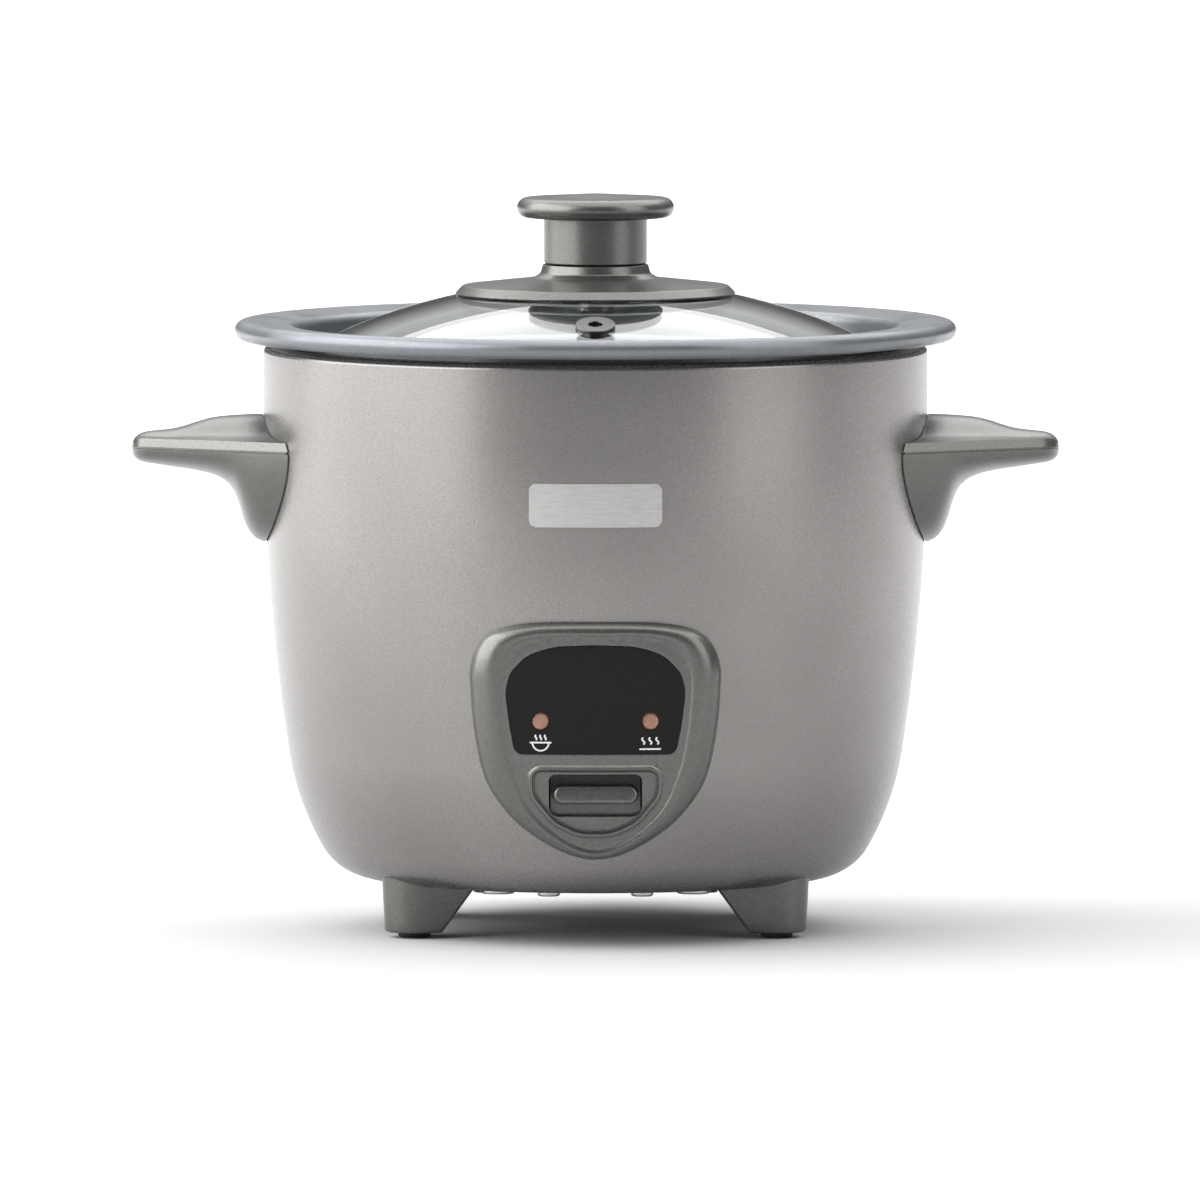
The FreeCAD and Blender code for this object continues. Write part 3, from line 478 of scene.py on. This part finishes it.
def plate_metal():
    """Satin metal of the blank plate, brushed along its length."""
    finish = Finish("plate_metal", (0.54, 0.53, 0.52), 0.34, 0.6)
    finish.tint(finish.noise(0.5, 3.0, 0.6, (0.08, 1.0, 1.0)), (0.47, 0.46, 0.45))
    finish.bump(finish.noise(0.3, 3.0, 0.6, (0.05, 1.0, 1.0)), 0.004)
    return finish.material


def brushed(name, colour, roughness, stretch, size=0.5, depth=0.006):
    """Bare metal with fine lines along one direction and a slow change in tone."""
    finish = Finish(name, colour, roughness, 1.0)
    lines = finish.noise(size, 4.0, 0.65, stretch)
    finish.tint(lines, tuple(c * 0.82 for c in colour))
    finish.tint(finish.noise(14.0, 3.0), tuple(c * 0.9 for c in colour))
    finish.vary_roughness(lines, roughness - 0.06, roughness + 0.1)
    finish.bump(lines, depth)
    return finish.material


def cast(name, colour, roughness):
    """Cast metal, sandy, with darker pores."""
    finish = Finish(name, colour, roughness, 0.9)
    finish.tint(finish.noise(0.8, 5.0, 0.7), tuple(c * 0.7 for c in colour))
    finish.vary_roughness(finish.noise(2.0, 3.0), roughness - 0.08, roughness + 0.12)
    finish.bump(finish.noise(0.6, 4.0, 0.7), 0.03)
    return finish.material


def matt(name, colour, roughness, other, size=0.6, depth=0.02):
    """Plastic, rubber, ceramic or board: two close tones and a fine grain."""
    finish = Finish(name, colour, roughness)
    finish.tint(finish.noise(size * 4, 3.0), other)
    finish.vary_roughness(finish.noise(size * 3, 2.0), roughness - 0.05, roughness + 0.08)
    finish.bump(finish.noise(size, 3.0, 0.6), depth)
    return finish.material


MATERIALS = {
    "painted_steel": painted_steel(),
    "moulded_plastic": moulded_plastic(),
    "coated_aluminium": coated_aluminium(),
    "lid_glass": lid_glass(),
    "window_plastic": window_plastic(),
    "lamp_plastic": lamp_plastic(),
    "plate_metal": plate_metal(),
    "liner_steel": brushed("liner_steel", (0.5, 0.5, 0.49), 0.36, (1.0, 1.0, 0.06), 0.25, 0.001),
    "cast_aluminium": cast("cast_aluminium", (0.6, 0.6, 0.6), 0.42),
    "element_sheath": cast("element_sheath", (0.2, 0.19, 0.18), 0.5),
    "steel_fasteners": brushed("steel_fasteners", (0.62, 0.61, 0.6), 0.28, (1.0, 1.0, 1.0), 0.2),
    "vent_metal": brushed("vent_metal", (0.11, 0.11, 0.11), 0.3, (1.0, 1.0, 1.0), 0.3),
    "brass": brushed("brass", (0.66, 0.47, 0.2), 0.26, (1.0, 1.0, 0.1), 0.3),
    "black_plastic": matt("black_plastic", (0.02, 0.02, 0.021), 0.45, (0.03, 0.03, 0.03)),
    "fuse_ceramic": matt("fuse_ceramic", (0.6, 0.57, 0.5), 0.6, (0.5, 0.47, 0.41), 0.4),
    "board": matt("board", (0.05, 0.16, 0.07), 0.4, (0.07, 0.2, 0.09), 0.3, 0.01),
    "ferrite": matt("ferrite", (0.05, 0.048, 0.046), 0.5, (0.075, 0.07, 0.066), 0.5),
    "rubber": matt("rubber", (0.018, 0.018, 0.018), 0.7, (0.028, 0.027, 0.026), 0.5, 0.03),
}
PAINT = MATERIALS["painted_steel"]
PLASTIC = MATERIALS["moulded_plastic"]


def print_ink():
    finish = Finish("print_ink", (0.75, 0.75, 0.74), 0.5)
    finish.tint(finish.noise(0.3, 3.0), (0.62, 0.62, 0.61))
    finish.bump(finish.noise(0.2, 2.0), 0.004)
    return finish.material


def finish_cad_nodes():
    """Every CAD node takes its slot's material and smooth shading, shown or not."""
    for entry in frame["record"]["subparts"]:
        finish_surface(NODES[entry["node"]], MATERIALS[entry["material_slot"]], 28.0)


# ---- shell -----------------------------------------------------------------------------------
def shell_outside():
    points = [(LIP_R, SHELL_TOP), (BODY_R, SHELL_TOP, 1.4)]
    r, z, angle = BODY_R, BELLY_START, 0.0
    for radius, end_angle in BELLY_ARCS:
        reach = radius * math.tan(math.radians((end_angle - angle) / 2))
        r -= reach * math.sin(math.radians(angle))
        z -= reach * math.cos(math.radians(angle))
        points.append((r, z, radius))
        r -= reach * math.sin(math.radians(end_angle))
        z -= reach * math.cos(math.radians(end_angle))
        angle = end_angle
    points.append((BASE_OPENING_R, z))
    return points


SHELL_OUTSIDE = shell_outside()
SHELL_CURVE = rounded(SHELL_OUTSIDE, 1.0)


def shell_radius(z):
    """The shell's outer radius at a height on its side."""
    side = [p for p in SHELL_CURVE if p[0] > 45.0]
    for (r0, z0), (r1, z1) in zip(side, side[1:]):
        if z1 <= z <= z0 and z0 > z1:
            return r0 + (r1 - r0) * (z0 - z) / (z0 - z1)
    return BODY_R


def outer_shell():
    outside = rounded(SHELL_OUTSIDE, 1.5)
    within = rounded(parallel(SHELL_OUTSIDE, -SHELL_WALL), 3.0)
    obj = lathe(outside + within[::-1], 288).piece(
        "shell", "housing", PAINT, "painted_steel", ["outer_shell"])
    cut_boxes(obj, [PADDLE_OPENING, LAMP_OPENING, INLET_OPENING])
    # the cut made a new mesh, so its sharp edges are found again
    finish_surface(obj, PAINT, 50.0)


# ---- pot and lid -----------------------------------------------------------------------------
def inner_pot():
    wall = [(0, POT_FLOOR), (POT_R, POT_FLOOR, 20.0), (POT_R, LEDGE_Z, 0.6),
            (MOUTH_R, LEDGE_Z, 1.6), (MOUTH_R, FLANGE_Z, 2.0),
            (BEAD_CENTRE[0], BEAD_CENTRE[1] + BEAD_R)]
    inner = rounded(wall, 4.0)
    outer = rounded(parallel(wall, -POT_WALL), 4.0)
    bead = arc(BEAD_CENTRE, BEAD_R, 90, -187, 44)
    profile = inner[:-1] + bead + outer[:-1][::-1]
    lathe(profile, 288).piece("pot", "pot", MATERIALS["coated_aluminium"], "coated_aluminium",
                              ["inner_pot"])


def dome(radius, degrees):
    angle = math.radians(degrees)
    return (radius * math.sin(angle), DOME_TOP - DOME_R + radius * math.cos(angle))


def glass_lid():
    middle = DOME_R - GLASS / 2
    edge = math.degrees(math.asin(LID_EDGE_R / middle))
    hole = math.degrees(math.asin(2.6 / middle))
    sweep = [hole + (edge - hole) * k / 24 for k in range(25)]
    centre = dome(middle, edge)
    rim = arc(centre, GLASS / 2, 90 - edge, -90 - edge, 12)
    profile = [dome(DOME_R, a) for a in sweep] + rim[1:-1]
    profile += [dome(DOME_R - GLASS, a) for a in sweep[::-1]]
    lathe(profile, 240).piece("lid_dome", "lid", MATERIALS["lid_glass"], "lid_glass",
                              ["lid_glass"], 50.0)


def knob():
    seat = KNOB_SEAM + 0.25
    cap = [(11.15, 153.8, 0.4), (14.9, 153.8)]
    nose = arc((14.85, 155.95), 2.15, -90, 90, 20)
    crown = [(12.5, 158.12), (10.5, 158.2), (8.5, 158.36), (6.5, 158.56), (4.5, 158.74),
             (2.5, 158.86), (0, 158.9)]
    stem = rounded([(0, seat), (10.9, seat, 0.0), (11.15, seat + 0.25, 0.0)] + cap)
    lathe(stem[:-1] + nose + crown, 160).piece(
        "knob_cap", "lid", PLASTIC, "moulded_plastic", ["lid_knob"])


def knob_foot():
    under = [(r, DOME_TOP - DOME_R + math.sqrt(DOME_R ** 2 - r ** 2) + 0.05)
             for r in (2.6, 8.0, 14.0, 20.0, 26.0, 30.0)]
    over = rounded([(30.0, under[-1][1]), (30.35, under[-1][1] + 0.35, 0.2), (28.75, 139.1, 0.9),
                    (13.6, 140.75, 3.0), (11.95, 141.7, 1.0), (11.4, KNOB_SEAM, 0.2),
                    (2.6, KNOB_SEAM)])
    lathe(under + over[1:], 200).piece("knob_disc", "lid", PLASTIC, "moulded_plastic",
                                       ["knob_base"])


# ---- handles ---------------------------------------------------------------------------------
HANDLE_CROWN = [(60.0, 110.8), (71.9, 111.2), (78.1, 111.0), (84.3, 110.4), (94.7, 108.2),
                (101.0, 106.7)]
HANDLE_KEEL = [(60.0, 82.5), (71.0, 83.4), (73.9, 84.6), (75.8, 87.4), (77.0, 91.4), (78.3, 94.9),
               (80.6, 97.2), (84.5, 98.7), (92.6, 100.0), (101.0, 101.2)]
# how high the top stands across the handle, from its middle to its rim
TOP_SHAPE = [(0.0, 1.0), (0.15, 0.95), (0.3, 0.78), (0.42, 0.56), (0.5, 0.38), (0.6, 0.2),
             (0.8, 0.07), (1.0, 0.0)]
BAND_WIDTH = 0.9
BAND_HEIGHT = 1.9
# where the lower half starts, as a share of the band's height
PARTING = 1.24


def handle_ring(count_top=29, count_under=32):
    """One closed run around the handle: each entry gives a kind and its place.

    The run goes over the top, down the right band, along the underside and up the left band."""
    ring = []
    for k in range(count_top):
        t = -math.cos(math.pi * k / (count_top - 1))
        ring.append(("top", t))
    for side in (1, -1):
        steps = [(0.3, 0.3), (0.65, 0.62), (0.92, 0.9), (1.0, 0.97), (0.35, 1.0), (0.35, 1.19),
                 (1.0, PARTING)]
        run = [("band", side, out, down) for out, down in steps]
        if side == 1:
            ring += run
            ring += [("under", 180.0 * (k + 0.5) / count_under) for k in range(count_under)]
        else:
            ring += run[::-1]
    return ring


def handle_point(x, place, past=0.0):
    swell = max(0.0, 1 - past ** 3) ** (1 / 3)
    half = (HANDLE_ROOT_HALF - (x - HANDLE_ROOT) * HANDLE_TAPER) * swell
    rim = HANDLE_MIDDLE_Z + (HANDLE_RIM_Z - HANDLE_MIDDLE_Z) * swell
    crown = HANDLE_MIDDLE_Z + (smooth(HANDLE_CROWN, x) - HANDLE_MIDDLE_Z) * swell
    keel = HANDLE_MIDDLE_Z + (smooth(HANDLE_KEEL, x) - HANDLE_MIDDLE_Z) * swell
    wide = BAND_WIDTH * swell
    deep = BAND_HEIGHT * swell
    if place[0] == "top":
        y = place[1] * half
        rise = smooth(TOP_SHAPE, abs(place[1]))
        dish = 0.9 * swell * math.exp(-((x - 90.5) / 5.5) ** 2 - (y / 8.0) ** 2)
        return x, y, rim + (crown - rim) * rise - dish
    if place[0] == "band":
        _, side, out, down = place
        return x, side * (half + wide * out), rim - deep * down
    angle = math.radians(place[1])
    top = rim - deep * PARTING
    return x, (half + wide) * math.cos(angle), top - (top - keel) * math.sin(angle)


def shell_gap(point):
    """How far a point stands off the shell's outside."""
    x, y, z = point
    return math.hypot(x, y) - shell_radius(z)


def handle_start(place, gap):
    """The x at which one line along the handle meets the shell, less a gap."""
    low, high = 55.0, 85.0
    for _ in range(30):
        x = (low + high) / 2
        if shell_gap(handle_point(x, place)) < gap:
            low = x
        else:
            high = x
    return high


def handle(name, side, node):
    ring = handle_ring()
    starts = [handle_start(place, 0.3) for place in ring]
    made = Builder()
    stations = 26
    rows = []
    for k in range(stations):
        share = k / (stations - 1)
        rows.append([handle_point(s + (HANDLE_NOSE - s) * share, place)
                     for s, place in zip(starts, ring)])
    turns = 16
    reach = HANDLE_TIP - HANDLE_NOSE
    for k in range(1, turns):
        past = math.sin(math.radians(90 * k / turns)) ** (2 / 3)
        rows.append([handle_point(HANDLE_NOSE + past * reach, place, past) for place in ring])
    middle = Vector((72.0, 0.0, 99.0))
    groove = []
    for point in rows[0]:
        inwards = middle - Vector(point)
        inwards.x = 0.0
        groove.append(Vector(point) + inwards.normalized() * 0.45)
    buried = [tuple(p - Vector((0.9, 0, 0))) for p in groove]
    rows = [buried, [tuple(p) for p in groove]] + rows
    loops = [made.loop([(side * x, y, z) for x, y, z in row]) for row in rows]
    made.skin(loops)
    made.fan(loops[0], (side * 66.0, 0.0, 99.0))
    made.fan(loops[-1], (side * HANDLE_TIP, 0.0, HANDLE_MIDDLE_Z))
    made.piece(name, "housing", PLASTIC, "moulded_plastic", [node], 38.0)


# ---- control panel ---------------------------------------------------------------------------
def circle_through(points):
    (ax, ay), (bx, by), (cx, cy) = points
    scale = 2 * (ax * (by - cy) + bx * (cy - ay) + cx * (ay - by))
    a2, b2, c2 = (x * x + y * y for x, y in points)
    ux = (a2 * (by - cy) + b2 * (cy - ay) + c2 * (ay - by)) / scale
    uy = (a2 * (cx - bx) + b2 * (ax - cx) + c2 * (bx - ax)) / scale
    return ux, uy, math.hypot(ax - ux, ay - uy)


FACE_CIRCLE = circle_through([(r + FACE_AXIS_Y, z) for r, z in FACE_PROFILE])


def face_y(x, z, depth=0.0):
    """The y of the panel's curved face, or of a surface so far behind it."""
    centre_r, centre_z, radius = FACE_CIRCLE
    r = centre_r + math.sqrt(radius ** 2 - (z - centre_z) ** 2) - depth
    return FACE_AXIS_Y - math.sqrt(r * r - x * x)


def on_face(loop, depth):
    return [(x, face_y(x, z, depth), z) for x, z in loop]


def mirrored(half):
    """A whole outline from its right half, given from top to bottom."""
    return half + [(-x, z) for x, z in half[::-1] if x > 0]


def divided(loop, longest):
    """A closed loop whose long edges are split, so that it can follow a curved face."""
    out = []
    for start, end in zip(loop, loop[1:] + loop[:1]):
        parts = max(1, math.ceil(math.dist(start, end) / longest))
        for k in range(parts):
            out.append(tuple(a + (b - a) * k / parts for a, b in zip(start, end)))
    return out


OUTLINE = closed_spline(mirrored(
    [(0, 71.0), (16.1, 70.4), (22.8, 68.4), (25.6, 64.9), (26.8, 60.5), (26.7, 56.0), (26.2, 49.4),
     (24.7, 40.6), (23.2, 36.1), (20.5, 31.7), (16.6, 27.3), (10.8, 23.1), (5.1, 20.4),
     (0, 19.5)]), 6)
RIDGE = closed_spline(mirrored(
    [(0, 68.7), (12.6, 68.3), (17.6, 66.6), (20.0, 63.4), (21.1, 59.6), (21.1, 55.6), (20.6, 49.4),
     (19.2, 41.2), (17.7, 36.6), (15.9, 32.2), (13.0, 28.2), (8.6, 24.5), (4.2, 22.0),
     (0, 21.1)]), 6)
RIDGE_PROUD = 0.5
# how far parts of the panel lie behind its face
WINDOW_DEPTH = 1.85
SHELF_DEPTH = 0.9
SLOT_DEPTH = 4.2
LAMP_X = 11.7
WINDOW = divided(mirrored(rounded(
    [(0, 66.2), (9.0, 65.9, 20.0), (14.6, 64.0, 8.0), (18.2, 60.2, 5.0), (19.2, 56.2, 8.0),
     (18.3, 49.0, 30.0), (17.1, 42.8, 2.0), (0, 42.8)], 8.0)), 1.6)
RECESS = divided(mirrored(rounded(
    [(0, 39.2), (13.35, 39.2, 1.8), (13.35, 34.0, 5.0), (8.6, 28.2, 7.0), (3.4, 25.7, 9.0),
     (0, 25.7)], 6.0)), 1.2)
SLOT = divided(rounded([(9.9, 29.2, 2.2), (9.9, 38.3, 1.4), (-9.9, 38.3, 1.4), (-9.9, 29.2, 2.2)],
                       15.0, True), 1.2)


def bezel():
    made = Builder()
    border = []
    foot_y = [-math.sqrt(shell_radius(z) ** 2 - x * x) for x, z in OUTLINE]
    border.append([(x, y + 0.7, z) for (x, z), y in zip(OUTLINE, foot_y)])
    steps = 12
    for k in range(steps + 1):
        angle = math.radians(90 * k / steps)
        across, up = 1 - math.cos(angle), math.sin(angle) ** 0.8
        row = []
        for (ox, oz), (rx, rz), y in zip(OUTLINE, RIDGE, foot_y):
            top = face_y(rx, rz, -RIDGE_PROUD)
            row.append((ox + (rx - ox) * across, y + (top - y) * up, oz + (rz - oz) * across))
        border.append(row)
    for inset, fall in ((0.25, 0.08), (0.5, 0.25), (0.75, 0.42), (0.95, RIDGE_PROUD)):
        border.append(on_face(spread(RIDGE, -inset), fall - RIDGE_PROUD))
    border = [made.loop(row) for row in border]
    made.skin(border)

    window = [made.loop(on_face(spread(WINDOW, out), depth))
              for out, depth in ((0.35, 0.0), (0.12, 0.05), (0.0, 0.25), (0.0, WINDOW_DEPTH))]
    made.skin(window)
    lip = [made.loop(on_face(spread(RECESS, out), depth))
           for out, depth in ((1.2, 0.0), (1.05, -0.12), (0.8, -0.4), (0.5, -0.5), (0.2, -0.38),
                              (0.0, 0.1), (-0.04, 1.1), (-0.26, 1.15),
                              (-0.36, SHELF_DEPTH))]
    made.skin(lip)
    slot = [made.loop(on_face(spread(SLOT, out), depth))
            for out, depth in ((0.08, SHELF_DEPTH), (0.02, 0.97), (0.0, 1.15), (0.0, SLOT_DEPTH))]
    made.skin(slot)

    def plan(point):
        return point[0], point[2]

    def at_depth(depth):
        return lambda x, z: (x, face_y(x, z, depth), z)

    made.fill(border[-1], [window[0], lip[0]], plan, at_depth(0.0), 1.3)
    made.fill(window[-1], [], plan, at_depth(WINDOW_DEPTH), 3.0)
    made.fill(lip[-1], [slot[0]], plan, at_depth(SHELF_DEPTH), 1.3)
    made.fill(border[0], [slot[-1]], plan, at_depth(SLOT_DEPTH), 3.0)
    made.piece("bezel", "housing", PLASTIC, "moulded_plastic", ["control_bezel"], 40.0)


def ribbon(path, width):
    """A flat line of a symbol, as the loop round it in the panel's plan."""
    left, right = [], []
    for i, point in enumerate(path):
        along = Vector(path[min(i + 1, len(path) - 1)]) - Vector(path[max(i - 1, 0)])
        side = Vector((-along.y, along.x)).normalized() * width / 2
        left.append(tuple(Vector(point) + side))
        right.append(tuple(Vector(point) - side))
    return left + right[::-1]


def symbol(name, paths, depth=0.27):
    """A small printed symbol that stands a few hundredths above the window."""
    made = Builder()
    for path in paths:
        loop = ribbon(path, 0.36)
        half = len(loop) // 2
        front = made.loop(on_face(loop, depth))
        back = made.loop(on_face(loop, depth + 0.1))
        made.band(front, back)
        for rim in (front, back):
            made.band(rim[:half], rim[half:][::-1], closed=False)
    made.piece(name, "housing", print_ink(), "window_plastic")


def steam(x, low, gap, rise, sway, steps):
    """Three wavy lines side by side, `gap` apart."""
    return [[(x + offset + sway * math.sin(math.pi * 2 * k / steps), low + rise * k / steps)
             for k in range(steps + 1)] for offset in (-gap, 0.0, gap)]


def cook_symbol():
    """A bowl with steam above it."""
    x = -LAMP_X
    bowl = arc((x, 45.3), 1.75, 180, 360, 16)
    rim = [(x - 2.3, 45.3), (x + 2.3, 45.3)]
    symbol("cook_symbol", [bowl, rim] + steam(x, 45.85, 1.0, 1.1, 0.16, 8))


def warm_symbol():
    """Three rising waves of heat over a bar."""
    x = LAMP_X
    bar = [(x - 2.3, 43.9), (x + 2.3, 43.9)]
    symbol("warm_symbol", [bar] + steam(x, 44.9, 1.5, 1.5, 0.28, 12))


# ---- feet ------------------------------------------------------------------------------------
def foot_plan(nose_r, run, corner=1.1):
    """A round nose and two faces that spread inwards, with its back corners rounded."""
    spread_angle = math.radians(15.0)
    side = (nose_r * math.sin(spread_angle), nose_r * math.cos(spread_angle))
    back = (side[0] - run * math.cos(spread_angle), side[1] + run * math.sin(spread_angle))
    nose = arc((0, 0), nose_r, 75, -75, 20)
    flank = rounded([nose[-1], (back[0], -back[1], corner), (back[0], back[1], corner), nose[0]],
                    14.0)
    return nose + flank[1:-1]


def foot(name, sx, sy, node):
    heading = math.atan2(sy * FOOT_Y, sx * FOOT_X)
    made = Builder()
    rows = [(6.4, 5.0, 1.2, 0.9), (6.4, 5.0, 1.22, 0.55), (6.4, 5.0, 1.4, 0.22),
            (6.42, 5.05, 1.8, 0.0)]
    low, high = 1.8, 16.4
    for k in range(1, 9):
        share = k / 8
        rows.append((6.42 + 0.75 * share, 5.05 + 11.3 * share, low + (high - low) * share, 0.0))
    loops = []
    for nose_r, run, z, inset in rows:
        plan = spread(foot_plan(nose_r, run), -inset)
        loops.append(made.loop(
            [(sx * FOOT_X + x * math.cos(heading) - y * math.sin(heading),
              sy * FOOT_Y + x * math.sin(heading) + y * math.cos(heading), z) for x, y in plan]))
    made.skin(loops)
    centre = (sx * FOOT_X, sy * FOOT_Y)
    made.fan(loops[0], (*centre, 1.2))
    made.fan(loops[-1], (centre[0] * 0.9, centre[1] * 0.9, high))
    made.piece(name, "housing", PLASTIC, "moulded_plastic", [node], 36.0)


# ---- build -----------------------------------------------------------------------------------
finish_cad_nodes()
outer_shell()
inner_pot()
glass_lid()
knob()
knob_foot()
handle("handle_right", 1, "right_handle")
handle("handle_left", -1, "left_handle")
bezel()
cook_symbol()
warm_symbol()
for corner, sx, sy in (("front_left", -1, -1), ("front_right", 1, -1), ("back_left", -1, 1),
                       ("back_right", 1, 1)):
    foot(f"{corner}_leg", sx, sy, f"{corner}_foot")


# ---- studio ----------------------------------------------------------------------------------
CAMERA = (0.00097, -4.499, 0.390)
TARGET = (0.00097, 0.0, 0.0708)
FLOOR_HALF = 20.0


def studio_floor():
    """Pale paper: paler behind, where less light falls, and darker far in front, so that the
    paint mirrors less of it."""
    half = FLOOR_HALF
    mesh = bpy.data.meshes.new("floor")
    mesh.from_pydata([(-half, -half, 0), (half, -half, 0), (half, half, 0), (-half, half, 0)], [],
                     [(0, 1, 2, 3)])
    floor = bpy.data.objects.new("floor", mesh)
    bpy.context.scene.collection.objects.link(floor)
    paper = Finish("floor_paper", (0.5, 0.5, 0.5), 0.9)
    paper.tint(paper.noise(300.0), (0.49, 0.49, 0.49))
    place = paper.node("ShaderNodeSeparateXYZ", Vector=paper.where)
    paper.tint(place.outputs["Y"], (0.95, 0.95, 0.95), 0.0, 0.9)
    paper.tint(place.outputs["Y"], (0.12, 0.12, 0.12), -1.2, -1.6)
    mesh.materials.append(paper.material)


def studio_sky():
    """Dim all round and brightest high up behind the object, which is what the glass shows."""
    world = bpy.data.worlds.new("studio")
    world.use_nodes = True
    tree = world.node_tree
    direction = tree.nodes.new("ShaderNodeTexCoord").outputs["Generated"]
    split = tree.nodes.new("ShaderNodeSeparateXYZ")
    tree.links.new(direction, split.inputs["Vector"])
    glow = tree.nodes.new("ShaderNodeMath")
    glow.operation = "MULTIPLY"
    for slot, axis, start, end in ((0, "Z", 0.08, 0.5), (1, "Y", -0.1, 0.4)):
        ramp = tree.nodes.new("ShaderNodeMapRange")
        ramp.interpolation_type = "SMOOTHSTEP"
        ramp.inputs["From Min"].default_value = start
        ramp.inputs["From Max"].default_value = end
        tree.links.new(split.outputs[axis], ramp.inputs["Value"])
        tree.links.new(ramp.outputs["Result"], glow.inputs[slot])
    strength = tree.nodes.new("ShaderNodeMapRange")
    strength.inputs["To Min"].default_value = 0.1
    strength.inputs["To Max"].default_value = 0.75
    tree.links.new(glow.outputs["Value"], strength.inputs["Value"])
    tree.links.new(strength.outputs["Result"], tree.nodes["Background"].inputs["Strength"])
    tree.nodes["Background"].inputs["Color"].default_value = (1.0, 1.0, 1.0, 1.0)
    bpy.context.scene.world = world


def overhead_light():
    sun = bpy.data.lights.new("overhead", "SUN")
    sun.energy = 4.0
    sun.angle = math.radians(100.0)
    overhead = bpy.data.objects.new("overhead", sun)
    overhead.rotation_euler = (math.radians(-12.0), 0.0, 0.0)
    bpy.context.scene.collection.objects.link(overhead)


def softbox(name, azimuth, radiance, size):
    """A rectangle of light facing the object, its azimuth in degrees from the front."""
    distance = 1.5
    light = bpy.data.lights.new(name, "AREA")
    light.shape = "RECTANGLE"
    light.size, light.size_y = size
    light.energy = radiance * math.pi * size[0] * size[1]
    lamp = bpy.data.objects.new(name, light)
    turn = math.radians(azimuth)
    lamp.location = (distance * math.sin(turn), -distance * math.cos(turn), 0.78)
    aim = Vector((0, 0, 0.08)) - lamp.location
    lamp.rotation_euler = aim.to_track_quat("-Z", "Y").to_euler()
    bpy.context.scene.collection.objects.link(lamp)


def studio_camera():
    """A long lens far away, at the height that shows a little of the lid."""
    camera = bpy.data.cameras.new("camera")
    camera.lens = 624.9
    camera.sensor_width = 36.0
    camera.clip_end = 60.0
    viewer = bpy.data.objects.new("camera", camera)
    viewer.location = CAMERA
    viewer.rotation_euler = (Vector(TARGET) - Vector(CAMERA)).to_track_quat("-Z", "Y").to_euler()
    bpy.context.scene.collection.objects.link(viewer)
    bpy.context.scene.camera = viewer


bpy.context.scene.view_settings.view_transform = "Standard"
studio_floor()
studio_sky()
overhead_light()
softbox("left", -78.0, 4.6, (2.6, 1.5))
softbox("right", 60.0, 2.2, (1.0, 1.5))
studio_camera()
